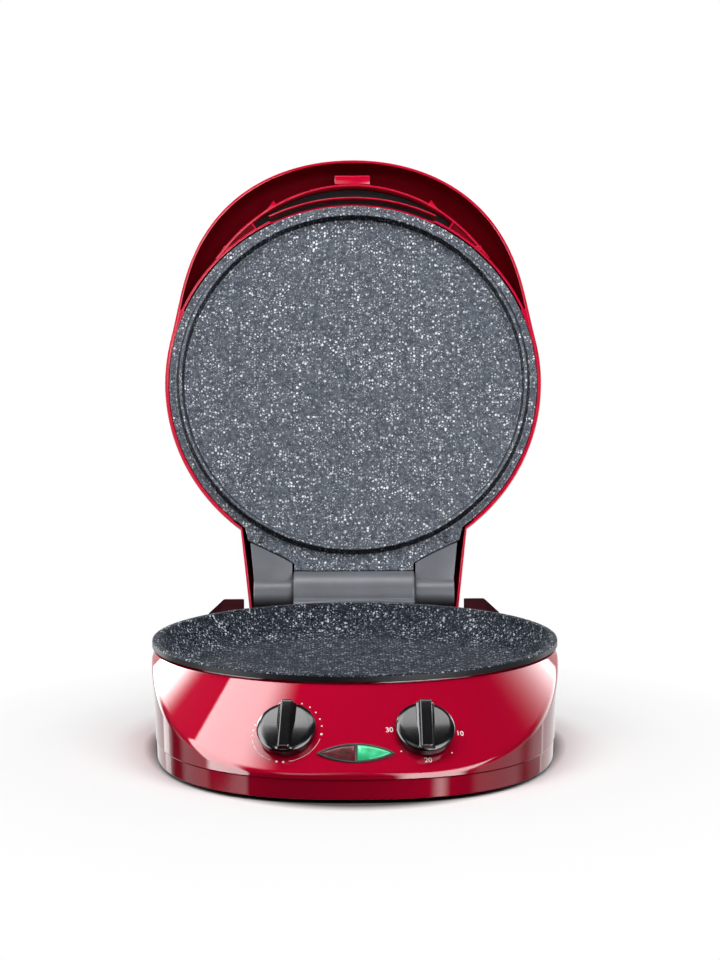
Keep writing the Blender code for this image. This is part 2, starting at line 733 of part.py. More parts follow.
def make_pan(parent):
    wall_run_share = ((0.92, 0.3), (0.72, 0.62), (0.4, 0.88))
    throat = PAN_RADIUS - PAN_LIP_WIDTH - PAN_THROAT
    inside = [(PAN_RADIUS - PAN_LIP_WIDTH, RIM_HEIGHT - PAN_LIP_ROUND), (throat, RIM_HEIGHT - PAN_LIP_HEIGHT)]
    inside += [
        (PAN_FLOOR_RADIUS + (throat - PAN_FLOOR_RADIUS) * out, RIM_HEIGHT - PAN_DEPTH * down)
        for out, down in wall_run_share
    ]
    floor_corner = (PAN_FLOOR_RADIUS, PAN_FLOOR_TOP)
    outward_shares = (0, 0.3, 0.6)
    outside = []
    for (radius, height), share in zip(inside[2:], outward_shares):
        outside.append((radius + PAN_WALL * share, height - PAN_WALL))
    lip_bottom = RIM_HEIGHT - PAN_LIP_HEIGHT
    profile = [
        (0, PAN_FLOOR_TOP),
        floor_corner,
        *inside[::-1],
        (PAN_RADIUS - PAN_LIP_WIDTH + PAN_LIP_ROUND, RIM_HEIGHT),
        (PAN_RADIUS - PAN_LIP_ROUND, RIM_HEIGHT),
        (PAN_RADIUS, RIM_HEIGHT - PAN_LIP_ROUND),
        (PAN_RADIUS, lip_bottom),
        (PAN_RADIUS - PAN_WALL, lip_bottom),
        (PAN_RADIUS - PAN_WALL, FLANGE_UNDERSIDE),
        (COLLAR_INNER - GAP * 2, FLANGE_UNDERSIDE),
        (COLLAR_INNER - GAP * 2, lip_bottom - PAN_WALL),
        *outside,
        (PAN_FLOOR_RADIUS, PAN_UNDERSIDE),
        (0, PAN_UNDERSIDE),
    ]
    return turned("lower_pan", profile, GRANITE, parent, steps=BASE_STEPS)


def ring_path(radius, height, leg, steps=40):
    """A ring open at the back, whose two ends turn down by a leg."""
    start = math.pi + ELEMENT_OPENING / 2
    turns = span(start, start + 2 * math.pi - ELEMENT_OPENING, steps)
    ring = [around_axis(radius, height, turn) for turn in turns]
    drop = Vector((0, 0, leg))
    return [ring[0] - drop, *ring, ring[-1] - drop]


def make_element(name, parent, seat_height):
    """A ring element pressed to the underside of a plate."""
    height = seat_height - GAP - ELEMENT_TUBE
    return tube(name, ring_path(ELEMENT_RADIUS, height, ELEMENT_LEG), ELEMENT_TUBE, DARK_STEEL, parent)


def make_shield(name, parent, seat_height):
    """A shallow metal dish below an element, its flange against the plate above."""
    flange_top = seat_height - GAP
    bottom = flange_top - SHIELD_DEPTH
    profile = [
        (0, bottom + SHIELD_WALL),
        (SHIELD_RADIUS - SHIELD_TAPER - SHIELD_WALL, bottom + SHIELD_WALL),
        (SHIELD_RADIUS - SHIELD_WALL - SHIELD_FLANGE, flange_top),
        (SHIELD_RADIUS + SHIELD_FLANGE, flange_top),
        (SHIELD_RADIUS + SHIELD_FLANGE, flange_top - SHIELD_WALL),
        (SHIELD_RADIUS - SHIELD_FLANGE, flange_top - SHIELD_WALL),
        (SHIELD_RADIUS - SHIELD_TAPER, bottom),
        (0, bottom),
    ]
    shield = turned(name, profile, STEEL, parent)
    path = ring_path(ELEMENT_RADIUS, 0, ELEMENT_LEG)
    for side, end in (("first", path[0]), ("second", path[-1])):
        hole = rod(
            f"{name}_{side}_hole",
            ELEMENT_TUBE + SHIELD_HOLE_GAP,
            bottom - OVERRUN,
            bottom + OVERRUN,
            STEEL,
            parent,
            centre=(end.x, end.y),
        )
        cut(shield, hole)
    return shield


def make_control(name, seat, body_radius, body_depth, turn_seat):
    """A switch body behind the panel, its shaft, and its knob on the turning seat."""
    body_top = -BASE_WALL - PANEL_SAG
    body = rod(f"{name}_body", body_radius, body_top - body_depth, body_top, CERAMIC, seat, steps=SHAFT_STEPS)
    shaft_low = body_top - SHAFT_IN_BODY
    shaft_top = KNOB_LIFT + KNOB_DISC_HEIGHT
    bore_radius = SHAFT_RADIUS + RUNNING
    cut(body, rod(f"{name}_bore", bore_radius, shaft_low - GAP, OVERRUN, CERAMIC, seat, steps=SHAFT_STEPS))
    rod(f"{name}_shaft", SHAFT_RADIUS, shaft_low, shaft_top, STEEL, turn_seat, steps=SHAFT_STEPS)
    make_knob(name, turn_seat)
    return body_top - body_depth


def make_knob(name, seat):
    """A round disc with a raised finger grip across it."""
    face = KNOB_LIFT + KNOB_DISC_HEIGHT
    profile = [
        (0, face + KNOB_EDGE / 2),
        (KNOB_FACE_RADIUS - KNOB_EDGE, face),
        (KNOB_FACE_RADIUS, face - KNOB_EDGE),
        (KNOB_RADIUS, KNOB_LIFT + KNOB_EDGE),
        (KNOB_RADIUS, KNOB_LIFT),
        (0, KNOB_LIFT),
    ]
    knob = turned(f"{name}_knob", profile, BLACK, seat)
    foot = face - KNOB_EDGE * 2
    grip_top = face + GRIP_HEIGHT
    outline = [
        (-GRIP_FOOT_HALF_WIDTH, foot),
        (GRIP_FOOT_HALF_WIDTH, foot),
        (GRIP_FOOT_HALF_WIDTH, face + KNOB_EDGE),
        (GRIP_HALF_WIDTH, face + GRIP_FOOT_HEIGHT + KNOB_EDGE),
        (GRIP_HALF_WIDTH, grip_top - GRIP_EDGE),
        (GRIP_HALF_WIDTH - GRIP_EDGE, grip_top),
        (GRIP_EDGE - GRIP_HALF_WIDTH, grip_top),
        (-GRIP_HALF_WIDTH, grip_top - GRIP_EDGE),
        (-GRIP_HALF_WIDTH, face + GRIP_FOOT_HEIGHT + KNOB_EDGE),
        (-GRIP_FOOT_HALF_WIDTH, face + KNOB_EDGE),
    ]
    grip = prism(f"{name}_grip", outline, -GRIP_HALF_LENGTH, GRIP_HALF_LENGTH, BLACK, seat, along="y")
    join(knob, grip)
    bore_radius = SHAFT_RADIUS + PRESSED
    cut(knob, rod(f"{name}_knob_bore", bore_radius, -OVERRUN, face + GAP, BLACK, seat, steps=SHAFT_STEPS))


def make_bell(seat, behind):
    """The timer's bell: a shallow metal cup behind its body."""
    top = behind - GAP
    profile = [
        (0, top),
        (BELL_RADIUS * 0.5, top),
        (BELL_RADIUS, top - BELL_HEIGHT / 2),
        (BELL_RADIUS, top - BELL_HEIGHT),
        (BELL_RADIUS - BELL_WALL, top - BELL_HEIGHT),
        (BELL_RADIUS - BELL_WALL, top - BELL_HEIGHT / 2 - BELL_WALL),
        (BELL_RADIUS * 0.5, top - BELL_WALL),
        (0, top - BELL_WALL),
    ]
    turned("timer_bell", profile, STEEL, seat, steps=SHAFT_STEPS)


def make_indicator(seat):
    """The pointed bezel, its two lenses, and the holder with a lamp behind each lens."""
    outer = almond(INDICATOR_HALF_LENGTH, INDICATOR_HALF_HEIGHT)
    bezel = prism("indicator_bezel", outer, -BEZEL_DEPTH, BEZEL_PROUD, BLACK, seat)
    half_length = INDICATOR_HALF_LENGTH - BEZEL_RIM * 2
    half_height = INDICATOR_HALF_HEIGHT - BEZEL_RIM
    holder_top = -BEZEL_DEPTH - GAP
    holder_low = holder_top - HOLDER_DEPTH
    holder = block(
        "lamp_holder",
        (-HOLDER_HALF_LENGTH, -HOLDER_HALF_HEIGHT, holder_low),
        (HOLDER_HALF_LENGTH, HOLDER_HALF_HEIGHT, holder_top),
        CERAMIC,
        seat,
    )
    sides = (("red", -half_length, -BEZEL_BAR / 2), ("green", BEZEL_BAR / 2, half_length))
    for colour, low, high in sides:
        opening = almond(half_length, half_height, from_x=low, to_x=high)
        cut(bezel, prism(f"{colour}_opening", opening, -BEZEL_DEPTH - OVERRUN, OVERRUN, BLACK, seat))
        inner_low = low + GAP * 3 if colour == "red" else low + GAP
        inner_high = high - GAP if colour == "red" else high - GAP * 3
        pane = almond(half_length - GAP, half_height - GAP, from_x=inner_low, to_x=inner_high)
        prism(f"{colour}_lens", pane, -BEZEL_DEPTH, LENS_PROUD, f"{colour}_lens", seat)
        side = -1 if colour == "red" else 1
        pocket_edges = (side * BEZEL_BAR / 2, side * (HOLDER_HALF_LENGTH - HOLDER_WALL))
        pocket = block(
            f"{colour}_pocket",
            (min(pocket_edges), HOLDER_WALL - HOLDER_HALF_HEIGHT, holder_low + HOLDER_WALL),
            (max(pocket_edges), HOLDER_HALF_HEIGHT - HOLDER_WALL, holder_top + OVERRUN),
            CERAMIC,
            seat,
        )
        cut(holder, pocket)
        middle = side * (HOLDER_HALF_LENGTH - HOLDER_WALL) / 2
        rod(
            f"{colour}_lamp",
            LAMP_RADIUS,
            middle - LAMP_LENGTH / 2,
            middle + LAMP_LENGTH / 2,
            LAMP_GLASS,
            seat,
            along="x",
            centre=(0, holder_low + HOLDER_WALL + GAP + LAMP_RADIUS),
        )


def make_wiring(parent, gland_seat):
    """The terminal block on the cover, the thermal fuse under the pan, and the cord's gland."""
    middle = Vector((TERMINAL_ACROSS, TERMINAL_BACK, COVER_TOP + GAP + TERMINAL_HEIGHT / 2))
    half = Vector((TERMINAL_LENGTH, TERMINAL_WIDTH, TERMINAL_HEIGHT)) / 2
    block("terminal_block", middle - half, middle + half, CERAMIC, parent)
    rod(
        "thermal_fuse",
        FUSE_RADIUS,
        -FUSE_LENGTH / 2,
        FUSE_LENGTH / 2,
        STEEL,
        parent,
        along="x",
        centre=(FUSE_BACK, PAN_UNDERSIDE - GAP - FUSE_RADIUS),
    )
    flange_low = GAP * 2
    profile = [
        (GLAND_BORE, flange_low + GLAND_FLANGE),
        (GLAND_FLANGE_RADIUS - GLAND_FLANGE / 2, flange_low + GLAND_FLANGE),
        (GLAND_FLANGE_RADIUS, flange_low),
        (GLAND_RADIUS, flange_low),
        (GLAND_RADIUS, -BASE_WALL - GLAND_INSIDE),
        (GLAND_BORE, -BASE_WALL - GLAND_INSIDE),
    ]
    turned("cord_gland", profile, BLACK, gland_seat, steps=SMALL_STEPS, looped=True)


# Hinge and stands


def make_hinge_block(parent, envelope):
    """The knuckle between the lid's arms, and the bracket that holds it to the back of the base."""
    ledge = RIM_HEIGHT + KNUCKLE_LEDGE_RISE
    low = HINGE_HEIGHT - KNUCKLE_DROP
    inside = BASE_TOP_RADIUS / 2
    ledge_turn = math.pi + math.asin((HINGE_HEIGHT - ledge) / KNUCKLE_RADIUS)
    outline = [
        (inside, low),
        (inside, ledge),
        *on_circle((HINGE_BACK, HINGE_HEIGHT), KNUCKLE_RADIUS, span(ledge_turn, 0, KNUCKLE_STEPS)),
        (HINGE_BACK + KNUCKLE_RADIUS - KNUCKLE_TAPER, low),
    ]
    hinge = prism("hinge_block", outline, -KNUCKLE_HALF_LENGTH, KNUCKLE_HALF_LENGTH, GREY, parent, along="x")
    cut(hinge, envelope)
    pin_start = KNUCKLE_HALF_LENGTH - PIN_IN_KNUCKLE
    for name, side in (("left", -1), ("right", 1)):
        edges = sorted((side * (pin_start - GAP), side * (KNUCKLE_HALF_LENGTH + OVERRUN)))
        bore = rod(
            f"knuckle_bore_{name}",
            PIN_RADIUS + PRESSED,
            *edges,
            STEEL,
            parent,
            along="x",
            steps=SHAFT_STEPS,
            centre=(HINGE_BACK, HINGE_HEIGHT),
        )
        cut(hinge, bore)
        ends = sorted((side * pin_start, side * (BARREL_OUTER - GAP)))
        rod(
            f"hinge_pin_{name}",
            PIN_RADIUS,
            *ends,
            STEEL,
            parent,
            along="x",
            steps=SHAFT_STEPS,
            centre=(HINGE_BACK, HINGE_HEIGHT),
        )


def make_stands(parent, envelope):
    """The two upright blocks behind the base, on which it stands when it is stored on end."""
    top = RIM_HEIGHT - STAND_TOP_DROP
    inside = BASE_TOP_RADIUS / 2
    for name, side in (("left", -1), ("right", 1)):
        outline = [
            (side * STAND_INNER, STAND_LOW),
            (side * STAND_OUTER, STAND_LOW),
            (side * STAND_OUTER, top - STAND_CHAMFER_DOWN),
            (side * (STAND_OUTER - STAND_CHAMFER_ACROSS), top),
            (side * STAND_INNER, top),
        ]
        stand = prism(f"rear_stand_{name}", outline, inside, STAND_BACK, RED, parent, along="y")
        cut(stand, envelope)
        slope = [
            (STAND_BACK - STAND_REAR_SLOPE * 4, -OVERRUN),
            (STAND_BACK + OVERRUN, -OVERRUN),
            (STAND_BACK + OVERRUN, RIM_HEIGHT / 2),
            (STAND_BACK, RIM_HEIGHT / 2),
        ]
        edges = sorted((side * (STAND_INNER - OVERRUN), side * (STAND_OUTER + OVERRUN)))
        cut(stand, prism(f"stand_slope_{name}", slope, *edges, RED, parent, along="x"))


# Lid plan


def lid_point(radius, azimuth, rise):
    """A point in the lid's frame, at an azimuth counted from the handle towards +x."""
    return Vector((radius * math.sin(azimuth), PLATE_CENTRE + radius * math.cos(azimuth), rise))


def handle_share(azimuth):
    """How far the handle has swelled out at an azimuth, from 0 at its ends to 1 in the middle."""
    turn = abs(azimuth) / HANDLE_ANGLE
    return (1 - turn**3) ** HANDLE_FULLNESS if turn < 1 else 0.0


def meet_line(azimuth, start, end):
    """Distance from the plate's centre to a line through two lid points, along an azimuth."""
    direction = Vector((math.sin(abs(azimuth)), math.cos(azimuth)))
    offset = Vector(start) - Vector((0, PLATE_CENTRE))
    run = Vector(end) - Vector(start)
    across = direction.x * run.y - direction.y * run.x
    if abs(across) < 1e-9:
        return math.inf
    return (offset.x * run.y - offset.y * run.x) / across


def shell_radius(azimuth):
    """The shell's outer rim, seen from above: a circle, the handle, and a square tail over the hinge."""
    turn = abs(azimuth)
    if turn <= SHELL_TAIL_ANGLE:
        return SHELL_RADIUS + HANDLE_REACH * handle_share(azimuth)
    start = lid_point(SHELL_RADIUS, SHELL_TAIL_ANGLE, 0)
    side = meet_line(azimuth, (start.x, start.y), (SHELL_TAIL_HALF_WIDTH, SHELL_TAIL_END))
    back = (SHELL_TAIL_END - PLATE_CENTRE) / math.cos(azimuth)
    return min(side, back) if side > 0 else back


def tail_corner():
    return math.atan2(SHELL_TAIL_HALF_WIDTH, SHELL_TAIL_END - PLATE_CENTRE)


def shell_azimuths():
    corner = tail_corner()
    half = span(0, HANDLE_ANGLE, 14)
    half += span(HANDLE_ANGLE, SHELL_TAIL_ANGLE, 10)[1:]
    half += span(SHELL_TAIL_ANGLE, corner - TAIL_CORNER_TURN, 3)[1:]
    half += span(corner + TAIL_CORNER_TURN, math.pi, 4)
    return half + [-turn for turn in half[-2:0:-1]]


def wall_inset(azimuth, inset):
    """The radial inset that keeps the tail's side walls, which slant to the radius, from growing thin."""
    corner = tail_corner()
    turn = abs(azimuth)
    if inset == 0 or turn <= SHELL_TAIL_ANGLE or turn >= corner:
        return inset
    return inset * (1 + TAIL_INSET_SHARE * (turn - SHELL_TAIL_ANGLE) / (corner - SHELL_TAIL_ANGLE))


def skin_depth(radius, azimuth, edge, inset=0):
    """Depth of the shell behind the rim at a radius and azimuth, or of its inner skin."""
    dome = DOME_DEPTH - DOME_DROP * (radius / DOME_RADIUS) ** 2 - inset
    if radius <= DOME_RADIUS:
        return dome
    share = handle_share(azimuth)
    side = SHELL_SIDE + (HANDLE_SIDE - SHELL_SIDE) * share - inset / 2
    curve = SHOULDER_CURVE + (HANDLE_CURVE - SHOULDER_CURVE) * share
    reach = min((radius - DOME_RADIUS) / (edge - DOME_RADIUS), 1)
    return side + (dome - side) * math.sqrt(max(1 - reach**curve, 0))


def skin_profile(azimuth, inset=0):
    """The shell's skin at an azimuth from the dome's centre to the rim, as (radius, rise)."""
    dome_shares = (0, 0.35, 0.7)
    shoulder_shares = (0, 0.3, 0.55, 0.75, 0.9, 0.97, 1)
    rim = shell_radius(azimuth) - wall_inset(azimuth, inset)
    edge = rim - SHELL_DRAFT
    radii = [DOME_RADIUS * share for share in dome_shares]
    radii += [DOME_RADIUS + (edge - DOME_RADIUS) * share for share in shoulder_shares]
    points = [(radius, -skin_depth(radius, azimuth, edge, inset)) for radius in radii]
    return points + [(rim, 0)]


def under_skin(radius, azimuth):
    """The height of the shell's inner skin at a radius and azimuth."""
    profile = skin_profile(azimuth, SHELL_WALL)
    for first, second in zip(profile, profile[1:]):
        if first[0] <= radius <= second[0]:
            share = (radius - first[0]) / (second[0] - first[0])
            return first[1] + (second[1] - first[1]) * share
    return -HANDLE_SIDE


def make_lid_shell(parent):
    """The lid's outer shell: a domed skin with its handle, open towards the pan."""
    sections = []
    for azimuth in shell_azimuths():
        profile = skin_profile(azimuth) + skin_profile(azimuth, SHELL_WALL)[::-1]
        sections.append([lid_point(radius, azimuth, rise) for radius, rise in profile])
    shell = loft("lid_shell", sections, RED, parent, poles=(True, True))
    notch = block(
        "hinge_notch",
        (-NOTCH_HALF_WIDTH, SHELL_TAIL_END - OVERRUN, -DOME_DEPTH - OVERRUN),
        (NOTCH_HALF_WIDTH, NOTCH_END, OVERRUN),
        RED,
        parent,
    )
    cut(shell, notch)
    return shell


def inner_wall_radius(azimuth):
    """The outer face of the wall between the handle's hollow and the plate."""
    turn = min(abs(azimuth) / INNER_WALL_END_ANGLE, 1)
    return SHELL_RADIUS + INNER_WALL_REACH * (1 - turn**2) ** INNER_WALL_CURVE


def curved_wall(name, parent, outer, thickness, angle):
    """A wall that stands on the shell's inside and follows a radius given for each azimuth."""
    sections = []
    for azimuth in span(-angle, angle, RIM_WALL_STEPS):
        outside = outer(azimuth)
        inside = outside - thickness
        sections.append(
            [
                lid_point(outside, azimuth, -RIM_SETBACK),
                lid_point(inside, azimuth, -RIM_SETBACK),
                lid_point(inside, azimuth, under_skin(inside, azimuth) + SKIN_GAP),
                lid_point(outside, azimuth, under_skin(outside, azimuth) + SKIN_GAP),
            ]
        )
    return loft(name, sections, RED, parent, around=False, looped=True)


def make_handle_walls(parent):
    """The lid's rim wall across the handle, the handle's inner wall, and the catch in its middle."""
    ring_outer = SHELL_RADIUS - GAP
    curved_wall("lid_rim_wall", parent, lambda turn: ring_outer, RING_WALL, RING_WALL_ANGLE)
    wall = curved_wall("handle_inner_wall", parent, inner_wall_radius, INNER_WALL, INNER_WALL_ANGLE)
    reach = RING_WALL_ANGLE
    keep_off = [lid_point(ring_outer + GAP, azimuth, 0) for azimuth in span(-reach, reach, RIM_WALL_STEPS)]
    outline = [(point.x, point.y) for point in keep_off]
    middle = (0, PLATE_CENTRE)
    cut(wall, prism("rim_wall_clearance", outline + [middle], -DOME_DEPTH, OVERRUN, RED, parent))
    catch_start = SHELL_RADIUS + INNER_WALL_REACH + GAP
    block(
        "handle_catch",
        (-CATCH_HALF_WIDTH, PLATE_CENTRE + catch_start, -CATCH_SETBACK - CATCH_LENGTH),
        (CATCH_HALF_WIDTH, PLATE_CENTRE + catch_start + CATCH_DEPTH, -CATCH_SETBACK),
        RED,
        parent,
    )


def make_vent(parent):
    """The black insert in the slot between the rim wall and the handle's inner wall, and the rib on it."""
    sections = []
    for azimuth in span(-INSERT_ANGLE, INSERT_ANGLE, WALL_STEPS):
        inside = SHELL_RADIUS + GAP
        outside = max(inner_wall_radius(azimuth) - INNER_WALL - GAP * 2, inside + GAP * 2)
        sections.append(
            [
                lid_point(outside, azimuth, -INSERT_DEPTH),
                lid_point(inside, azimuth, -INSERT_DEPTH),
                lid_point(inside, azimuth, -INSERT_DEPTH - INSERT_THICKNESS),
                lid_point(outside, azimuth, -INSERT_DEPTH - INSERT_THICKNESS),
            ]
        )
    loft("vent_insert", sections, BLACK, parent, around=False, looped=True)
    sections = []
    for azimuth in span(-VENT_RIB_ANGLE, VENT_RIB_ANGLE, WALL_STEPS):
        sections.append(
            [
                lid_point(VENT_RIB_RADIUS, azimuth, -RIM_SETBACK),
                lid_point(VENT_RIB_RADIUS - VENT_RIB_WALL, azimuth, -RIM_SETBACK),
                lid_point(VENT_RIB_RADIUS - VENT_RIB_WALL, azimuth, GAP - INSERT_DEPTH),
                lid_point(VENT_RIB_RADIUS, azimuth, GAP - INSERT_DEPTH),
            ]
        )
    loft("vent_rib", sections, RED, parent, around=False, looped=True)


# Lid plate and frame


def plate_corners():
    """The plate's outline behind the circle, from its side to the middle of its rear edge."""
    return [TAIL_SHOULDER, TAIL_WAIST, TAIL_TONGUE, (TAIL_TONGUE[0], TAIL_END), (0, TAIL_END)]


def turn_of(point):
    return math.atan2(point[0], point[1] - PLATE_CENTRE)


def plate_radius(azimuth):
    corners = plate_corners()
    turn = abs(azimuth)
    if turn <= TAIL_START:
        return PLATE_RADIUS
    start = lid_point(PLATE_RADIUS, TAIL_START, 0)
    chain = [(start.x, start.y)] + corners
    for first, second in zip(chain, chain[1:]):
        if turn <= turn_of(second) + 1e-9:
            return meet_line(turn, first, second)
    return PLATE_CENTRE - TAIL_END


def plate_azimuths():
    half = span(0, TAIL_START, 30)
    half += [turn_of(corner) for corner in plate_corners()[:-1]]
    half += span(half[-1], math.pi, 3)[1:]
    return half + [-turn for turn in half[-2:0:-1]]


def make_lid_plate(parent):
    """The upper cooking plate, with its raised ring and its tail towards the hinge."""
    sections = []
    for azimuth in plate_azimuths():
        edge = plate_radius(azimuth)
        profile = [
            (0, 0),
            (RING_FOOT_INNER, 0),
            (RING_INNER, RING_HEIGHT),
            (RING_OUTER, RING_HEIGHT),
            (RING_FOOT_OUTER, 0),
            (edge - PLATE_EDGE, 0),
            (edge, -PLATE_EDGE),
            (edge, -PLATE_THICKNESS),
            (0, -PLATE_THICKNESS),
        ]
        sections.append([lid_point(radius, azimuth, rise) for radius, rise in profile])
    plate = loft("lid_plate", sections, GRANITE, parent, poles=(True, True))
    for name, side in (("left", -1), ("right", 1)):
        centre = (side * PLATE_SCREW_ACROSS, PLATE_SCREW_ALONG)
        hole_radius = PLATE_SCREW_RADIUS + GAP
        hole = rod(f"plate_hole_{name}", hole_radius, -OVERRUN * 2, OVERRUN, GRANITE, parent, centre=centre)
        cut(plate, hole)
        head = turned(
            f"plate_screw_{name}",
            [
                (0, GAP + PLATE_SCREW_HEAD_HEIGHT),
                (PLATE_SCREW_HEAD - PLATE_SCREW_HEAD_HEIGHT / 2, GAP + PLATE_SCREW_HEAD_HEIGHT),
                (PLATE_SCREW_HEAD, GAP),
                (PLATE_SCREW_RADIUS, GAP),
                (PLATE_SCREW_RADIUS, -PLATE_SCREW_LENGTH),
                (0, -PLATE_SCREW_LENGTH),
            ],
            STEEL,
            parent,
            steps=SMALL_STEPS,
        )
        head.location = (*centre, 0)


def arm_outline(side):
    """The visible face of one hinge arm, kept clear of the plate's slanted edge."""
    off = ARM_EDGE_GAP
    outer = SHELL_TAIL_HALF_WIDTH - SHELL_WALL - ARM_EDGE_GAP * 2
    points = [
        (BARREL_INNER, 0),
        (outer - ARM_EDGE_GAP, 0),
        (outer, BARREL_RADIUS),
        (TAIL_SHOULDER[0] - ARM_EDGE_GAP * 4, TAIL_SHOULDER[1] - off * 3),
        (TAIL_WAIST[0], TAIL_WAIST[1] - off * 2),
        (BARREL_INNER, TAIL_WAIST[1] - (TAIL_WAIST[0] - BARREL_INNER) / 2 - off * 3),
    ]
    return [(side * x, y) for x, y in points]


def make_lid_frame(parent):
    """The grey hinge frame: two arms with barrels, joined by a bridge behind the plate."""
    back = -ARM_SETBACK - ARM_THICKNESS
    under_plate = -PLATE_THICKNESS - GAP
    frame = block(
        "lid_frame",
        (-ARM_TONGUE_OUTER + OVERRUN, TAIL_WAIST[1] + OVERRUN, under_plate - BRIDGE_THICKNESS),
        (ARM_TONGUE_OUTER - OVERRUN, ARM_TONGUE_END, under_plate),
        GREY,
        parent,
    )
    for name, side in (("left", -1), ("right", 1)):
        face = prism(f"arm_face_{name}", arm_outline(side), back, -ARM_SETBACK, GREY, parent)
        across = sorted((side * BARREL_INNER, side * (ARM_TONGUE_OUTER - OVERRUN * 2)))
        tongue_low = (across[0], BARREL_RADIUS, back + GAP)
        tongue_high = (across[1], ARM_TONGUE_END - OVERRUN, under_plate - GAP / 2)
        tongue = block(f"arm_tongue_{name}", tongue_low, tongue_high, GREY, parent)
        ends = sorted((side * BARREL_INNER, side * BARREL_OUTER))
        barrel = rod(f"arm_barrel_{name}", BARREL_RADIUS, *ends, GREY, parent, along="x", steps=SHAFT_STEPS)
        join(frame, tongue, face, barrel)
    for name, side in (("left", -1), ("right", 1)):
        edges = sorted((side * (BARREL_INNER - OVERRUN), side * (BARREL_OUTER + OVERRUN)))
        bore = rod(
            f"barrel_bore_{name}",
            PIN_RADIUS + RUNNING,
            *edges,
            STEEL,
            parent,
            along="x",
            steps=SHAFT_STEPS,
        )
        screw_hole = rod(
            f"frame_screw_hole_{name}",
            PLATE_SCREW_RADIUS + GAP,
            -PLATE_SCREW_LENGTH - GAP,
            OVERRUN,
            GREY,
            parent,
            centre=(side * PLATE_SCREW_ACROSS, PLATE_SCREW_ALONG),
        )
        cut(frame, bore, screw_hole)
    return frame


def make_carrier(parent):
    """The black ring behind the plate's edge, open over the hinge."""
    top = -PLATE_THICKNESS - GAP
    sections = []
    for azimuth in span(-CARRIER_ANGLE, CARRIER_ANGLE, TURN_STEPS):
        sections.append(
            [
                lid_point(CARRIER_OUTER, azimuth, top),
                lid_point(CARRIER_INNER, azimuth, top),
                lid_point(CARRIER_INNER, azimuth, top - CARRIER_THICKNESS),
                lid_point(CARRIER_OUTER, azimuth, top - CARRIER_THICKNESS),
            ]
        )
    loft("plate_carrier", sections, BLACK, parent, around=False, looped=True)


# Assembly


def make_base(table):
    knob_seats = {}
    for name, side in (("thermostat", -1), ("timer", 1)):
        place = f"{name}_seat"
        knob_seats[name] = panel_seat(place, table, side * KNOB_SPREAD, KNOB_DOWN, side * KNOB_FACING)
    gland_radius = base_half_width(GLAND_HEIGHT)
    gland_place = around_axis(gland_radius, GLAND_HEIGHT, GLAND_AZIMUTH)
    seats = dict(knob_seats)
    seats["indicator"] = panel_seat("indicator_seat", table, 0, INDICATOR_DOWN, 0)
    seats["gland"] = empty("gland_seat", table, gland_place, (math.pi / 2, 0, GLAND_AZIMUTH))
    make_base_shell(table, seats)
    make_base_cover(table)
    make_feet(table)
    make_cover_screws(table)
    make_pan(table)
    make_element("lower_heating_element", table, PAN_UNDERSIDE)
    make_shield("lower_heat_shield", table, PAN_UNDERSIDE)
    thermostat_turn = empty("thermostat_turn", seats["thermostat"], turn=(0, 0, THERMOSTAT_POINTS))
    timer_turn = empty("timer_turn", seats["timer"], turn=(0, 0, TIMER_POINTS))
    make_control("thermostat", seats["thermostat"], THERMOSTAT_RADIUS, THERMOSTAT_DEPTH, thermostat_turn)
    behind = make_control("timer", seats["timer"], TIMER_RADIUS, TIMER_DEPTH, timer_turn)
    make_bell(seats["timer"], behind)
    make_indicator(seats["indicator"])
    make_wiring(table, seats["gland"])
    envelope = rear_envelope("rear_envelope", table)
    make_hinge_block(table, envelope)
    make_stands(table, envelope)


def make_lid(table):
    hinge = empty("lid_hinge", table, (0, HINGE_BACK, HINGE_HEIGHT), (math.pi / 2 - LID_LEAN, 0, 0))
    make_lid_shell(hinge)
    make_handle_walls(hinge)
    make_vent(hinge)
    make_lid_plate(hinge)
    make_lid_frame(hinge)
    make_carrier(hinge)
    centre = empty("lid_plate_centre", hinge, (0, PLATE_CENTRE, 0), (0, 0, math.pi))
    make_element("upper_heating_element", centre, -PLATE_THICKNESS)
    make_shield("upper_heat_shield", centre, -PLATE_THICKNESS)


def main():
    clear_scene()
    table = empty("table_centre", location=(0, 0, -FOOT_CLEARANCE))
    make_base(table)
    make_lid(table)
    bpy.context.view_layer.update()


main()
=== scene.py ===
"""The electric pie maker, dressed for a studio picture.

The base carries a sloped control panel and a fixed pan, and the lid leans back on a rear hinge. Lengths
are in metres. Heights in the base are counted from the table. The lid is drawn in its own frame: x across,
y from the hinge's axis to the handle, z out of the cooking face.
"""

import logging
import math
from collections.abc import Callable, Iterable, Sequence
from dataclasses import dataclass, field
from enum import Enum

import bmesh
import bpy
from mathutils import Matrix, Vector


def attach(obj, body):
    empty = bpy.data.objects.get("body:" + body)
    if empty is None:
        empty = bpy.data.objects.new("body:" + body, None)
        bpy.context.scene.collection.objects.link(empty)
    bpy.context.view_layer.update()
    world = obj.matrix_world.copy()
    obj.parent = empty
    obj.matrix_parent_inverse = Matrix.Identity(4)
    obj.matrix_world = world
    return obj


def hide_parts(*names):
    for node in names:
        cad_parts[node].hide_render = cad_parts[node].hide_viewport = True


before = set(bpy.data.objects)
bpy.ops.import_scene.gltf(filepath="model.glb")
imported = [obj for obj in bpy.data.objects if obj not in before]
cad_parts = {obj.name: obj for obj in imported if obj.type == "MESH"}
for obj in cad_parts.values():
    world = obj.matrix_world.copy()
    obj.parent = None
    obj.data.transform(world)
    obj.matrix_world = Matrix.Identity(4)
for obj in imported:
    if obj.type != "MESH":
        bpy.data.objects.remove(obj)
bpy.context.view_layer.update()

MM = 0.001
TABLE_LEVEL = -3 * MM
WELD = 1e-6
SHARP = math.radians(38)
PIN_HOLE = 3.1 * MM
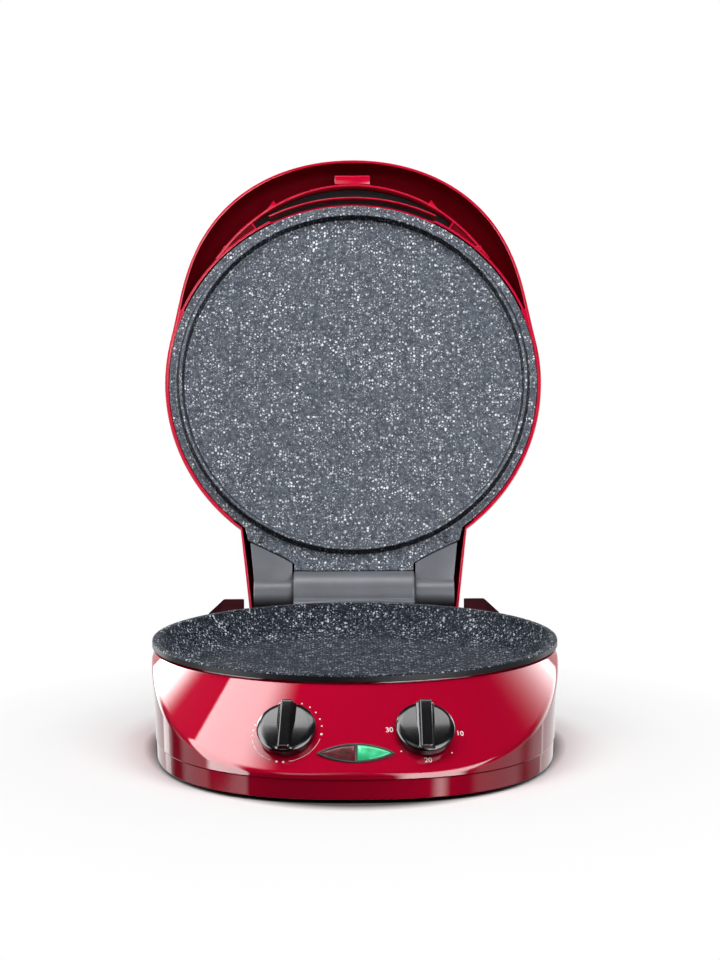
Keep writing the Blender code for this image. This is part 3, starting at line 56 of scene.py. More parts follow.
WHITE = (1.0, 1.0, 1.0, 1.0)
LOG = logging.getLogger("pie_maker")

Mesh = bpy.types.Mesh
Node = bpy.types.Node
Socket = bpy.types.NodeSocket
Thing = bpy.types.Object
Corner = tuple[float, float, float]
Colour = tuple[float, float, float]
Pair = tuple[float, float]
Rows = list[list[Vector]]
Turning = Callable[[float], float]
Section = Callable[[float], list[Corner]]
Place = tuple[Vector, Vector, float]


class Body(Enum):
    """The moving bodies of the appliance."""

    BASE = "base"
    LID = "lid"
    THERMOSTAT = "thermostat_control"
    TIMER = "timer_control"


class Slot(Enum):
    """Material slot names that the drawn pieces' tickets carry."""

    RED = "red_lacquer"
    GRANITE = "granite_coating"
    GREY = "grey_plastic"
    BLACK = "black_plastic"
    STEEL = "bright_steel"
    RUBBER = "rubber"
    RED_LENS = "red_lens"
    GREEN_LENS = "green_lens"


class Side(Enum):
    """Left and right as the cook sees them."""

    LEFT = -1
    RIGHT = 1


# Finishes


class NodeTree:
    """A node tree, drawn node by node."""

    def __init__(self, tree: bpy.types.NodeTree) -> None:
        """Takes the tree to draw in."""
        self.tree = tree

    def add(self, kind: str, values: dict[str, object] | None = None, **settings: object) -> Node:
        """Adds a node.

        Args:
            kind: The node's type.
            values: Values or sockets for its inputs, by input name.
            **settings: The node's own properties.

        Returns:
            The new node.
        """
        node = self.tree.nodes.new(kind)
        for key, value in settings.items():
            setattr(node, key, value)
        for key, value in (values or {}).items():
            self.feed(node.inputs[key], value)
        return node

    def feed(self, socket: Socket, value: object) -> None:
        """Joins a socket to another one, or sets its value.

        Args:
            socket: The socket.
            value: The other socket, or the value.
        """
        if isinstance(value, Socket):
            self.tree.links.new(value, socket)
        else:
            socket.default_value = value

    def sum(self, operation: str, first: object, second: object) -> Socket:
        """Two values or sockets, put together by a sum.

        Args:
            operation: The sum's kind.
            first: The first value or socket.
            second: The second one.

        Returns:
            The sum's socket.
        """
        node = self.add("ShaderNodeMath", operation=operation)
        self.feed(node.inputs[0], first)
        self.feed(node.inputs[1], second)
        return node.outputs[0]


class NodeBoard(NodeTree):
    """The nodes of one material."""

    def __init__(self, name: str) -> None:
        """Starts a material with an empty Principled shader.

        Args:
            name: The material's name.
        """
        self.material = bpy.data.materials.new(name)
        self.material.use_nodes = True
        super().__init__(self.material.node_tree)
        self.shader = self.tree.nodes["Principled BSDF"]
        self.place = self.add("ShaderNodeTexCoord").outputs["Object"]

    def set(self, **values: object) -> None:
        """Feeds the shader's inputs, whose names are given with underscores for spaces."""
        for key, value in values.items():
            self.feed(self.shader.inputs[key.replace("_", " ")], value)

    def surface(self, shader: Socket) -> None:
        """Shows a shader on the surface."""
        self.feed(self.tree.nodes["Material Output"].inputs["Surface"], shader)

    def noise(self, scale: float, detail: float = 2.0, roughness: float = 0.5) -> Socket:
        """A noise over the piece, as a value from 0 to 1."""
        values = {"Vector": self.place, "Scale": scale, "Detail": detail, "Roughness": roughness}
        return self.add("ShaderNodeTexNoise", values).outputs["Fac"]

    def remap(
        self, value: Socket, low: float, high: float, to_low: float = 0.0, to_high: float = 1.0
    ) -> Socket:
        """Maps a value from one range to another, held at its ends."""
        values = {"Value": value, "From Min": low, "From Max": high, "To Min": to_low, "To Max": to_high}
        return self.add("ShaderNodeMapRange", values, clamp=True).outputs["Result"]

    def blend(self, share: object, first: object, second: object) -> Socket:
        """Mixes two colours by a share from 0 to 1.

        Args:
            share: The second colour's share.
            first: The first colour.
            second: The second one.

        Returns:
            The mixed colour.
        """
        node = self.add("ShaderNodeMix", data_type="RGBA")
        self.feed(node.inputs["Factor"], share)
        self.feed(node.inputs[6], first)
        self.feed(node.inputs[7], second)
        return node.outputs[2]

    def bumped(self, height: Socket, strength: float, distance: float) -> Socket:
        """A normal bumped by a height."""
        values = {"Height": height, "Strength": strength, "Distance": distance}
        return self.add("ShaderNodeBump", values).outputs["Normal"]


def rgba(colour: Sequence[float]) -> tuple[float, float, float, float]:
    """A colour with full alpha."""
    return (colour[0], colour[1], colour[2], 1.0)


@dataclass(frozen=True)
class Finish:
    """A finish that several pieces share."""

    name: str

    def material(self) -> bpy.types.Material:
        """The finish's material, made once."""
        return bpy.data.materials.get(self.name) or self.mix()

    def mix(self) -> bpy.types.Material:
        """Builds the material."""
        raise NotImplementedError


@dataclass(frozen=True)
class Lacquer(Finish):
    """A deep red lacquer with fine flakes under a glossy clear coat."""

    colour: Colour = (0.41, 0.0013, 0.024)
    deep: Colour = (0.34, 0.0010, 0.019)
    roughness: float = 0.5
    metallic: float = 0.12
    coat: float = 1.0
    coat_roughness: float = 0.025
    flake_scale: float = 2600.0

    def mix(self) -> bpy.types.Material:
        """Builds the lacquer.

        Returns:
            The material.
        """
        board = NodeBoard(self.name)
        flakes = board.add("ShaderNodeTexVoronoi", {"Vector": board.place, "Scale": self.flake_scale})
        sparkle = board.remap(flakes.outputs["Color"], 0.2, 0.9)
        colour = board.blend(sparkle, rgba(self.deep), rgba(self.colour))
        peel = board.bumped(board.noise(300.0, 1.0), 0.04, 0.02 * MM)
        board.set(Base_Color=colour, Metallic=self.metallic, Roughness=self.roughness, Specular_IOR_Level=0.0)
        board.set(Coat_Weight=self.coat, Coat_Roughness=self.coat_roughness, Coat_Normal=peel)
        return board.material


@dataclass(frozen=True)
class SpeckleLayer:
    """One size of the coating's speckles.

    Attributes:
        scale: Cells for each metre.
        reach: The largest speckle's share of its cell.
        bare: The share of cells that stay bare.
        tone: How pale the layer's speckles are, from 0 to 1.
    """

    scale: float
    reach: float
    bare: float
    tone: float


@dataclass(frozen=True)
class Granite(Finish):
    """A dark non-stick coating with pale speckles of several sizes."""

    ground: Colour = (0.094, 0.110, 0.140)
    shade: Colour = (0.032, 0.040, 0.057)
    speckle: Colour = (0.90, 0.93, 0.97)
    roughness: float = 0.45
    gloss: float = 0.3
    layers: tuple[SpeckleLayer, ...] = (
        SpeckleLayer(390.0, 0.50, 0.42, 1.0),
        SpeckleLayer(640.0, 0.50, 0.30, 0.62),
        SpeckleLayer(1000.0, 0.52, 0.28, 0.32),
    )

    def speckles(self, board: NodeBoard, layer: SpeckleLayer) -> Socket:
        """How pale one layer's speckles make each point.

        Args:
            board: The material's nodes.
            layer: The layer.

        Returns:
            The paleness, from 0 to 1.
        """
        cells = board.add("ShaderNodeTexVoronoi", {"Vector": board.place, "Scale": layer.scale})
        drawn = board.add("ShaderNodeSeparateColor", {"Color": cells.outputs["Color"]}).outputs["Red"]
        size = board.remap(drawn, layer.bare, 1.0, 0.0, layer.reach)
        inside = board.sum("SUBTRACT", size, cells.outputs["Distance"])
        return board.remap(inside, 0.0, 0.06, 0.0, layer.tone)

    def mix(self) -> bpy.types.Material:
        """Builds the coating.

        Returns:
            The material.
        """
        board = NodeBoard(self.name)
        cloud = board.remap(board.noise(260.0, 5.0), 0.38, 0.62)
        colour = board.blend(cloud, rgba(self.shade), rgba(self.ground))
        patchy = board.remap(board.noise(70.0, 3.0), 0.38, 0.60, 0.35, 1.0)
        for layer in self.layers:
            cover = board.sum("MULTIPLY", self.speckles(board, layer), patchy)
            colour = board.blend(cover, colour, rgba(self.speckle))
        grain = board.bumped(board.noise(1500.0, 2.0), 0.25, 0.05 * MM)
        board.set(Base_Color=colour, Roughness=self.roughness, Specular_IOR_Level=self.gloss, Normal=grain)
        return board.material


@dataclass(frozen=True)
class Moulded(Finish):
    """A moulded plastic or rubber, from satin to glossy, with a fine grain."""

    colour: Colour = (0.1, 0.1, 0.1)
    roughness: float = 0.4
    grain: float = 0.1
    grain_scale: float = 2400.0
    coat: float = 0.0
    variation: float = 0.12
    gloss: float = 0.5

    def mix(self) -> bpy.types.Material:
        """Builds the plastic.

        Returns:
            The material.
        """
        board = NodeBoard(self.name)
        low = rgba([part * (1 - self.variation) for part in self.colour])
        high = rgba([part * (1 + self.variation) for part in self.colour])
        colour = board.blend(board.remap(board.noise(35.0, 3.0), 0.3, 0.7), low, high)
        rough = board.remap(board.noise(60.0, 3.0), 0.3, 0.7, self.roughness * 0.9, self.roughness * 1.12)
        board.set(Base_Color=colour, Roughness=rough, Specular_IOR_Level=self.gloss)
        board.set(Coat_Weight=self.coat, Coat_Roughness=0.06)
        board.set(Normal=board.bumped(board.noise(self.grain_scale, 1.0), self.grain, 0.04 * MM))
        return board.material


@dataclass(frozen=True)
class Metal(Finish):
    """A bare or blackened metal with fine scratches."""

    colour: Colour = (0.62, 0.62, 0.63)
    roughness: float = 0.28
    scratch_scale: float = 700.0

    def mix(self) -> bpy.types.Material:
        """Builds the metal.

        Returns:
            The material.
        """
        board = NodeBoard(self.name)
        stretch = board.add("ShaderNodeMapping", {"Vector": board.place, "Scale": (1.0, 12.0, 12.0)})
        values = {"Vector": stretch.outputs["Vector"], "Scale": self.scratch_scale / 10, "Detail": 4.0}
        lines = board.add("ShaderNodeTexNoise", values).outputs["Fac"]
        rough = board.remap(lines, 0.3, 0.7, self.roughness * 0.8, self.roughness * 1.25)
        board.set(Base_Color=rgba(self.colour), Metallic=1.0, Roughness=rough)
        board.set(Normal=board.bumped(lines, 0.06, 0.02 * MM))
        return board.material


@dataclass(frozen=True)
class LampLens(Finish):
    """A coloured lens, dark or lit from behind, with fine moulded ribs."""

    colour: Colour = (0.2, 0.01, 0.01)
    glow: float = 0.0
    core: Colour = (0.2, 0.01, 0.01)
    coat: float = 0.5

    def mix(self) -> bpy.types.Material:
        """Builds the lens.

        Returns:
            The material.
        """
        board = NodeBoard(self.name)
        cloud = board.remap(board.noise(130.0, 2.0), 0.35, 0.65)
        colour = board.blend(cloud, rgba(self.colour), rgba(self.core))
        board.set(Base_Color=colour, Roughness=0.3, Specular_IOR_Level=0.2)
        board.set(Coat_Weight=self.coat, Coat_Roughness=0.05)
        board.set(Emission_Color=colour, Emission_Strength=self.glow)
        board.set(Normal=board.bumped(board.noise(520.0, 1.0), 0.25, 0.15 * MM))
        return board.material


RED = Lacquer("red metallic lacquer")
# A darkened copy of the red lacquer: painted shade inside the lid's handle and on its webs.
SHADED_INSIDE_RED = Lacquer(
    "bare red plastic inside the lid",
    colour=(0.15, 0.0016, 0.009),
    deep=(0.115, 0.0013, 0.007),
    coat=0.25,
    coat_roughness=0.2,
)
# A darkened red: painted shade on the rear stands.
SHADED_STAND_RED = Moulded("dark red plastic", colour=(0.040, 0.009, 0.012), roughness=0.6, grain=0.15, gloss=0.0)
GRANITE = Granite("speckled coating")
# A darkened copy of the speckled coating: painted shade in the pan.
SHADED_PAN_GRANITE = Granite(
    "speckled coating in the pan",
    ground=(0.026, 0.033, 0.045),
    shade=(0.008, 0.011, 0.017),
    speckle=(0.56, 0.60, 0.66),
    gloss=0.02,
)
# A darkened copy of the plate's coating: painted shadow on the ring's steep sides.
RING_SHADOW_GRANITE = Granite(
    "speckled coating on the ring's sides",
    ground=(0.033, 0.039, 0.049),
    shade=(0.011, 0.014, 0.020),
    speckle=(0.30, 0.32, 0.35),
    gloss=0.05,
)
PAN_SIDE = Moulded("plain dark coating", colour=(0.010, 0.011, 0.014), roughness=0.35, grain=0.1, gloss=0.12)
# A brightened copy of the red lacquer: painted highlight on the lid's rims, walls, lands and bosses.
LIT_EDGE_RED = Lacquer("red lacquer of the lid's edges", colour=(0.60, 0.0017, 0.034), deep=(0.52, 0.0014, 0.028))
VENT_BLACK = Moulded(
    "black plastic in the vent",
    colour=(0.008, 0.007, 0.008),
    roughness=0.5,
    grain=0.2,
    gloss=0.1,
)
HINGE_GREY = Moulded("satin grey plastic", colour=(0.118, 0.126, 0.143), roughness=0.38, grain=0.15)
KNOB_BLACK = Moulded(
    "glossy black plastic",
    colour=(0.006, 0.006, 0.007),
    roughness=0.16,
    grain=0.02,
    coat=0.25,
    gloss=0.35,
)
MATT_BLACK = Moulded("matt black plastic", colour=(0.011, 0.010, 0.011), roughness=0.5, grain=0.2)
STEEL = Metal("bright steel")
DARK_STEEL = Metal("blackened steel", colour=(0.06, 0.06, 0.065), roughness=0.42)
RUBBER = Moulded("black rubber", colour=(0.018, 0.018, 0.019), roughness=0.8, grain=0.3)
RED_LENS = LampLens("dark red lens", colour=(0.035, 0.006, 0.007), core=(0.13, 0.011, 0.015), coat=0.2)
GREEN_LENS = LampLens(
    "lit green lens",
    colour=(0.012, 0.30, 0.11),
    core=(0.035, 0.50, 0.22),
    glow=0.45,
    coat=0.6,
)
CERAMIC = Moulded("pale ceramic", colour=(0.72, 0.69, 0.62), roughness=0.6, grain=0.2, variation=0.04)
LAMP_GLASS = Moulded("lamp glass", colour=(0.75, 0.70, 0.62), roughness=0.08, grain=0.01, coat=1.0)
DIAL_INK = Moulded(
    "white dial ink",
    colour=(0.90, 0.87, 0.87),
    roughness=0.5,
    grain=0.05,
    coat=1.0,
    variation=0.03,
)


# Outlines and meshes


def spaced(low: float, high: float, steps: int) -> list[float]:
    """Evenly spaced numbers from low to high, both included."""
    return [low + (high - low) * step / steps for step in range(steps + 1)]


def all_round(steps: int) -> list[float]:
    """Evenly spaced turns all the way round."""
    return [2 * math.pi * step / steps for step in range(steps)]


def halved(low: float, high: float, rounds: int, past: Callable[[float], bool]) -> float:
    """Closes in on where a test turns true, and returns the last number before it.

    Args:
        low: A number before it.
        high: A number past it.
        rounds: How often the gap is halved.
        past: The test.

    Returns:
        The last number found before it.
    """
    for _ in range(rounds):
        middle = (low + high) / 2
        if past(middle):
            high = middle
        else:
            low = middle
    return low


def rounded(corners: Sequence[Corner], looped: bool = False, steps: int = 5) -> list[Vector]:
    """Walks an outline and rounds each corner by its own reach.

    A rounded corner gives the same number of points whatever its reach, so that sections can be joined.

    Args:
        corners: Each corner as across, up, and how far its rounding reaches along both sides.
        looped: Whether the last corner is joined to the first.
        steps: Steps along each rounding.

    Returns:
        The outline's points.
    """
    total = len(corners)
    points: list[Vector] = []
    for index, (across, up, reach) in enumerate(corners):
        here = Vector((across, up))
        if reach <= 0 or (not looped and index in (0, total - 1)):
            points.append(here)
            continue
        ends = []
        for neighbour in (corners[index - 1], corners[(index + 1) % total]):
            run = Vector(neighbour[:2]) - here
            room = 0.42 if neighbour[2] > 0 else 0.88
            ends.append((run.normalized(), run.length * room, run.length * 0.04))
        cut = min(reach, ends[0][1], ends[1][1])
        start = here + ends[0][0] * cut
        end = here + ends[1][0] * cut
        points.append(start + ends[0][0] * min(cut * 0.35, ends[0][2]))
        for step in range(steps + 1):
            share = step / steps
            points.append(start * (1 - share) ** 2 + here * 2 * share * (1 - share) + end * share**2)
        points.append(end + ends[1][0] * min(cut * 0.35, ends[1][2]))
    return points


def woven(rows: Rows, around: bool = True, looped: bool = False) -> tuple[list[Vector], list[list[int]]]:
    """Points and faces through rows of equal length.

    Args:
        rows: The sections.
        around: Whether the last row joins the first; if not, both ends are closed.
        looped: Whether each row's last point joins its first.

    Returns:
        The points and the faces.
    """
    count = len(rows[0])
    total = len(rows)
    points = [point for row in rows for point in row]
    faces = []
    for row in range(total if around else total - 1):
        here = row * count
        beyond = (row + 1) % total * count
        for column in range(count if looped else count - 1):
            after = (column + 1) % count
            faces.append([here + column, beyond + column, beyond + after, here + after])
    if not around:
        faces.append(list(range(count)))
        faces.append([(total - 1) * count + column for column in range(count)])
    return points, faces


def placed(name: str, data: bpy.types.ID) -> Thing:
    """A new object in the scene.

    Args:
        name: The object's name.
        data: Its mesh, curve, lamp or camera.

    Returns:
        The object.
    """
    thing = bpy.data.objects.new(name, data)
    bpy.context.scene.collection.objects.link(thing)
    return thing


def settled(thing: Thing) -> Mesh:
    """An object's finished mesh; the object itself is removed.

    Args:
        thing: The object.

    Returns:
        The mesh.
    """
    graph = bpy.context.evaluated_depsgraph_get()
    mesh = bpy.data.meshes.new_from_object(thing.evaluated_get(graph), depsgraph=graph)
    bpy.data.objects.remove(thing)
    return mesh


def closed_mesh(name: str, points: Iterable[Vector], faces: Sequence[Sequence[int]]) -> Mesh:
    """A mesh with merged doubles, outward faces and smooth shading.

    Args:
        name: The mesh's name.
        points: Its points.
        faces: Its faces.

    Returns:
        The mesh.
    """
    mesh = bpy.data.meshes.new(name)
    mesh.from_pydata([tuple(point) for point in points], [], [list(face) for face in faces])
    tidy_mesh(mesh)
    return mesh


def tidy_mesh(mesh: Mesh) -> None:
    """Merges doubles, turns the faces outward and shades the mesh smooth.

    Args:
        mesh: The mesh.
    """
    work = bmesh.new()
    work.from_mesh(mesh)
    bmesh.ops.remove_doubles(work, verts=work.verts, dist=WELD)
    bmesh.ops.dissolve_degenerate(work, dist=WELD / 4, edges=work.edges)
    bmesh.ops.recalc_face_normals(work, faces=work.faces)
    if work.calc_volume(signed=True) < 0:
        bmesh.ops.reverse_faces(work, faces=work.faces)
    work.to_mesh(mesh)
    work.free()
    mesh.shade_smooth()
    mesh.set_sharp_from_angle(angle=SHARP)


def lofted(name: str, rows: Rows, around: bool = True, looped: bool = False) -> Mesh:
    """A closed mesh through rows."""
    return closed_mesh(name, *woven(rows, around, looped))


def lathed(name: str, outline: Sequence[Vector], steps: int, looped: bool = False) -> Mesh:
    """A mesh turned about z from points of radius and height.

    Args:
        name: The mesh's name.
        outline: The points.
        steps: Steps all the way round.
        looped: Whether the last point joins the first.

    Returns:
        The mesh.
    """
    rows = []
    for turn in all_round(steps):
        across, back = math.sin(turn), -math.cos(turn)
        rows.append([Vector((point.x * across, point.x * back, point.y)) for point in outline])
    return lofted(name, rows, looped=looped)


def level_point(x: float, y: float, z: float) -> Vector:
    """A point of a frame that isn't turned."""
    return Vector((x, y, z))


def boxed(low_x: float, high_x: float, low_y: float, high_y: float) -> list[Pair]:
    """A rectangle's outline."""
    return [(low_x, low_y), (high_x, low_y), (high_x, high_y), (low_x, high_y)]


def extruded(
    name: str, outline: Sequence[Pair], low: float, high: float, place: Callable[..., Vector] = level_point
) -> Mesh:
    """An outline carried from low to high along the third axis of a frame."""
    rows = [[place(first, second, level) for first, second in outline] for level in (low, high)]
    return lofted(name, rows, around=False, looped=True)


def joined(name: str, meshes: Sequence[Mesh]) -> Mesh:
    """One mesh from several, each of which already faces outward.

    Args:
        name: The mesh's name.
        meshes: The meshes, which are removed.

    Returns:
        The mesh.
    """
    work = bmesh.new()
    for mesh in meshes:
        work.from_mesh(mesh)
    whole = bpy.data.meshes.new(name)
    work.to_mesh(whole)
    work.free()
    for mesh in meshes:
        bpy.data.meshes.remove(mesh)
    return whole


def baked(name: str, mesh: Mesh, dress: Callable[[Thing], None]) -> Mesh:
    """The mesh after modifiers.

    Args:
        name: The result's name.
        mesh: The mesh to change, which is removed.
        dress: Adds the modifiers to a temporary object.

    Returns:
        The evaluated mesh.
    """
    holder = placed(f"{name}_work", mesh)
    dress(holder)
    result = settled(holder)
    bpy.data.meshes.remove(mesh)
    result.name = name
    return result


def bevelled(name: str, mesh: Mesh, width: float, segments: int = 3, angle: float = 30.0) -> Mesh:
    """The mesh with its sharp edges rounded.

    Args:
        name: The result's name.
        mesh: The mesh, which is removed.
        width: How far the rounding reaches.
        segments: Steps along it.
        angle: The angle in degrees past which an edge is rounded.

    Returns:
        The rounded mesh.
    """

    def dress(holder: Thing) -> None:
        """Adds the rounding.

        Args:
            holder: The temporary object.
        """
        modifier = holder.modifiers.new("edges", "BEVEL")
        modifier.width = width
        modifier.segments = segments
        modifier.limit_method = "ANGLE"
        modifier.angle_limit = math.radians(angle)
        modifier.harden_normals = False

    result = baked(name, mesh, dress)
    result.shade_smooth()
    result.set_sharp_from_angle(angle=math.radians(32))
    return result


def carved(name: str, mesh: Mesh, cutters: Sequence[Mesh]) -> Mesh:
    """The mesh with other closed meshes cut from it.

    Args:
        name: The result's name.
        mesh: The mesh, which is removed.
        cutters: What is cut from it, also removed.

    Returns:
        What is left of the mesh.
    """
    tools = [placed(f"{name}_cutter_{index}", cutter) for index, cutter in enumerate(cutters)]

    def dress(holder: Thing) -> None:
        """Adds a cut for each tool.

        Args:
            holder: The temporary object.
        """
        for tool in tools:
            modifier = holder.modifiers.new(tool.name, "BOOLEAN")
            modifier.operation = "DIFFERENCE"
            modifier.solver = "EXACT"
            modifier.object = tool

    result = baked(name, mesh, dress)
    for tool in tools:
        cutter = tool.data
        bpy.data.objects.remove(tool)
        bpy.data.meshes.remove(cutter)
    tidy_mesh(result)
    return result


@dataclass(frozen=True)
class Ticket:
    """Says where a finished piece belongs and which solids it stands for."""

    body: Body
    slot: Slot
    finish: Finish
    stands_for: tuple[str, ...] = ()

    def hand_over(self, mesh: Mesh, name: str = "") -> Thing:
        """Makes the piece, gives it its finish, and joins it to its body.

        Args:
            mesh: The piece's mesh, in place.
            name: Its name, if that isn't the solid's name and "skin".

        Returns:
            The piece.
        """
        name = name or f"{self.stands_for[0]}_skin"
        mesh.name = name
        mesh.materials.clear()
        mesh.materials.append(self.finish.material())
        piece = placed(name, mesh)
        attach(piece, self.body.value)
        if self.stands_for:
            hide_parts(*self.stands_for)
        LOG.info("%s: %d faces on %s", name, len(mesh.polygons), self.body.value)
        return piece


def redress(finish: Finish, *nodes: str) -> None:
    """Gives solids that stay as they are a finished material.

    Args:
        finish: The finish.
        *nodes: The solids' names.
    """
    for name in nodes:
        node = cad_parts[name]
        if not node.material_slots:
            node.data.materials.append(None)
        for place in node.material_slots:
            place.material = finish.material()
        LOG.info("%s keeps its solid", name)


# Repeated pieces


class Recipe(NodeTree):
    """A Geometry Nodes tree, drawn step by step."""

    def __init__(self, name: str) -> None:
        """Starts a tree that takes and gives geometry.

        Args:
            name: The tree's name.
        """
        super().__init__(bpy.data.node_groups.new(name, "GeometryNodeTree"))
        for end in ("INPUT", "OUTPUT"):
            self.tree.interface.new_socket("Geometry", in_out=end, socket_type="NodeSocketGeometry")
        self.start = self.tree.nodes.new("NodeGroupInput")
        self.end = self.tree.nodes.new("NodeGroupOutput")

    def ask(self, name: str, kind: str) -> Socket:
        """Adds a named input and returns its socket inside the tree."""
        self.tree.interface.new_socket(name, in_out="INPUT", socket_type=kind)
        return self.start.outputs[name]

    def close(self, geometry: Socket, material: Socket) -> None:
        """Ends the tree: real geometry with its material set.

        Args:
            geometry: What the tree has made.
            material: The finish.
        """
        real = self.add("GeometryNodeRealizeInstances", {"Geometry": geometry})
        dressed = self.add("GeometryNodeSetMaterial", {"Geometry": real.outputs[0], "Material": material})
        self.tree.links.new(dressed.outputs[0], self.end.inputs["Geometry"])

    def bake(self, name: str, mesh: Mesh, values: dict[str, object]) -> Mesh:
        """Runs the tree on a mesh.

        Args:
            name: The result's name.
            mesh: The mesh that the tree starts from.
            values: The tree's named inputs.

        Returns:
            The result as a plain mesh.
        """
        inputs = [item for item in self.tree.interface.items_tree if item.in_out == "INPUT"]
        sockets = {item.name: item.identifier for item in inputs}

        def dress(holder: Thing) -> None:
            """Adds the tree with its inputs set.

            Args:
                holder: The temporary object.
            """
            modifier = holder.modifiers.new(name, "NODES")
            modifier.node_group = self.tree
            for key, value in values.items():
                modifier[sockets[key]] = value

        result = baked(name, mesh, dress)
        result.shade_smooth()
        result.set_sharp_from_angle(angle=SHARP)
        return result


class CopiesRecipe(Recipe):
    """Copies of one shape at given places, each turned to face its own way."""

    def __init__(self) -> None:
        """Draws the tree."""
        super().__init__("copies at places")
        shape = self.ask("Shape", "NodeSocketObject")
        spin = self.ask("Spin", "NodeSocketFloat")
        seed = self.ask("Seed", "NodeSocketInt")
        material = self.ask("Material", "NodeSocketMaterial")
        values = {"Object": shape, "As Instance": True}
        source = self.add("GeometryNodeObjectInfo", values, transform_space="ORIGINAL")
        attribute = "GeometryNodeInputNamedAttribute"
        facing = self.add(attribute, {"Name": "facing"}, data_type="FLOAT_VECTOR").outputs["Attribute"]
        size = self.add(attribute, {"Name": "size"}, data_type="FLOAT").outputs["Attribute"]
        aligned = self.add("FunctionNodeAlignRotationToVector", {"Vector": facing}, axis="Z")
        chance = self.add("FunctionNodeRandomValue", data_type="FLOAT")
        self.feed([item for item in chance.inputs if item.name == "Max" and item.type == "VALUE"][0], spin)
        self.feed(chance.inputs["Seed"], seed)
        drawn = [item for item in chance.outputs if item.type == "VALUE"][0]
        about = self.add("ShaderNodeCombineXYZ", {"Z": drawn})
        euler = self.add("FunctionNodeEulerToRotation", {"Euler": about.outputs[0]})
        values = {"Rotation": aligned.outputs[0], "Rotate By": euler.outputs[0]}
        turned = self.add("FunctionNodeRotateRotation", values, rotation_space="LOCAL")
        values = {"Points": self.start.outputs["Geometry"], "Instance": source.outputs["Geometry"]}
        values |= {"Rotation": turned.outputs[0], "Scale": size}
        copies = self.add("GeometryNodeInstanceOnPoints", values)
        self.close(copies.outputs[0], material)

    def place(
        self, name: str, shape: Mesh, places: Sequence[Place], finish: Finish, spin: float = 0.0
    ) -> Mesh:
        """Copies a shape.

        Args:
            name: The result's name.
            shape: The shape, about its own origin, with z outward.
            places: Each copy's place, facing and size.
            finish: The copies' finish.
            spin: The widest random turn about the facing.

        Returns:
            All the copies as one mesh.
        """
        points = bpy.data.meshes.new(f"{name}_places")
        points.from_pydata([tuple(place) for place, _, _ in places], [], [])
        points.attributes.new("facing", "FLOAT_VECTOR", "POINT")
        points.attributes.new("size", "FLOAT", "POINT")
        for index, (_, normal, size) in enumerate(places):
            points.attributes["facing"].data[index].vector = normal
            points.attributes["size"].data[index].value = size
        model = placed(f"{name}_shape", shape)
        values = {"Shape": model, "Spin": spin, "Seed": 7, "Material": finish.material()}
        result = self.bake(name, points, values)
        bpy.data.objects.remove(model)
        bpy.data.meshes.remove(shape)
        return result


class RibbonRecipe(Recipe):
    """A thin flat ribbon along a path that lies in the xy plane."""

    def __init__(self) -> None:
        """Draws the tree."""
        super().__init__("ribbon along a path")
        width = self.ask("Width", "NodeSocketFloat")
        thickness = self.ask("Thickness", "NodeSocketFloat")
        material = self.ask("Material", "NodeSocketMaterial")
        path = self.add("GeometryNodeMeshToCurve", {"Mesh": self.start.outputs["Geometry"]})
        level = self.add("GeometryNodeSetCurveNormal", {"Curve": path.outputs[0]}, mode="Z_UP")
        strip = self.add("GeometryNodeCurvePrimitiveQuadrilateral", {"Width": thickness, "Height": width})
        values = {"Curve": level.outputs[0], "Profile Curve": strip.outputs[0], "Fill Caps": True}
        swept = self.add("GeometryNodeCurveToMesh", values)
        self.close(swept.outputs[0], material)

    def draw(self, name: str, path: Sequence[Pair], width: float, thickness: float, finish: Finish) -> Mesh:
        """A ribbon along points of the plane.

        Args:
            name: The result's name.
            path: The points.
            width: The ribbon's width.
            thickness: Its thickness.
            finish: The finish.

        Returns:
            The ribbon.
        """
        line = bpy.data.meshes.new(f"{name}_path")
        edges = [(index, index + 1) for index in range(len(path) - 1)]
        line.from_pydata([(x, y, 0.0) for x, y in path], edges, [])
        return self.bake(name, line, {"Width": width, "Thickness": thickness, "Material": finish.material()})


# Base


@dataclass(frozen=True)
class BasePlan:
    """The base's walls and panel: a circle behind, and a deeper rounded front under a sloped panel."""

    top_radius: float = 168.7 * MM
    foot_radius: float = 164.8 * MM
    flare: float = 2.2
    front_shift: float = 30 * MM
    front_depth: float = 196 * MM
    squareness: float = 2.45
    slope: float = math.radians(45.6)
    top: float = 83 * MM
    clearance: float = 3 * MM
    plinth_top: float = 18.5 * MM
    panel_run: float = 3 * MM

    def half_width(self, height: float) -> float:
        """The plan's half width at a height."""
        share = max(height - self.clearance, 0) / (self.top - self.clearance)
        return self.foot_radius + (self.top_radius - self.foot_radius) * share**self.flare

    def wall_radius(self, azimuth: float, height: float) -> float:
        """The upright wall's distance from the pan's axis, at an azimuth counted from the front.

        Args:
            azimuth: The azimuth.
            height: The height above the table.

        Returns:
            The distance.
        """
        half = self.half_width(height)
        across = abs(math.sin(azimuth))
        ahead = math.cos(azimuth)
        if ahead <= 0:
            return half
        if across * self.front_shift >= ahead * half:
            return half / across

        def past(radius: float) -> bool:
            """Whether a radius lies outside the rounded front."""
            forward = max(radius * ahead - self.front_shift, 0) / self.front_depth
            return (radius * across / half) ** self.squareness + forward**self.squareness > 1

        return halved(0.0, self.front_shift + self.front_depth + half, 44, past)

    def panel_height(self, radius: float, inset: float = 0.0) -> float:
        """The sloped panel's height at a radius, or that of its underside."""
        return self.top - (radius - self.top_radius) * math.tan(self.slope) - inset / math.cos(self.slope)

    def crease(self, azimuth: float) -> Vector:
        """Where the panel meets the wall, as radius and height.

        Args:
            azimuth: The azimuth.

        Returns:
            The radius and the height.
        """
        height = self.top
        for _ in range(24):
            height = self.panel_height(self.wall_radius(azimuth, height))
        height = min(height, self.top - self.panel_run)
        return Vector((self.wall_radius(azimuth, height), height))


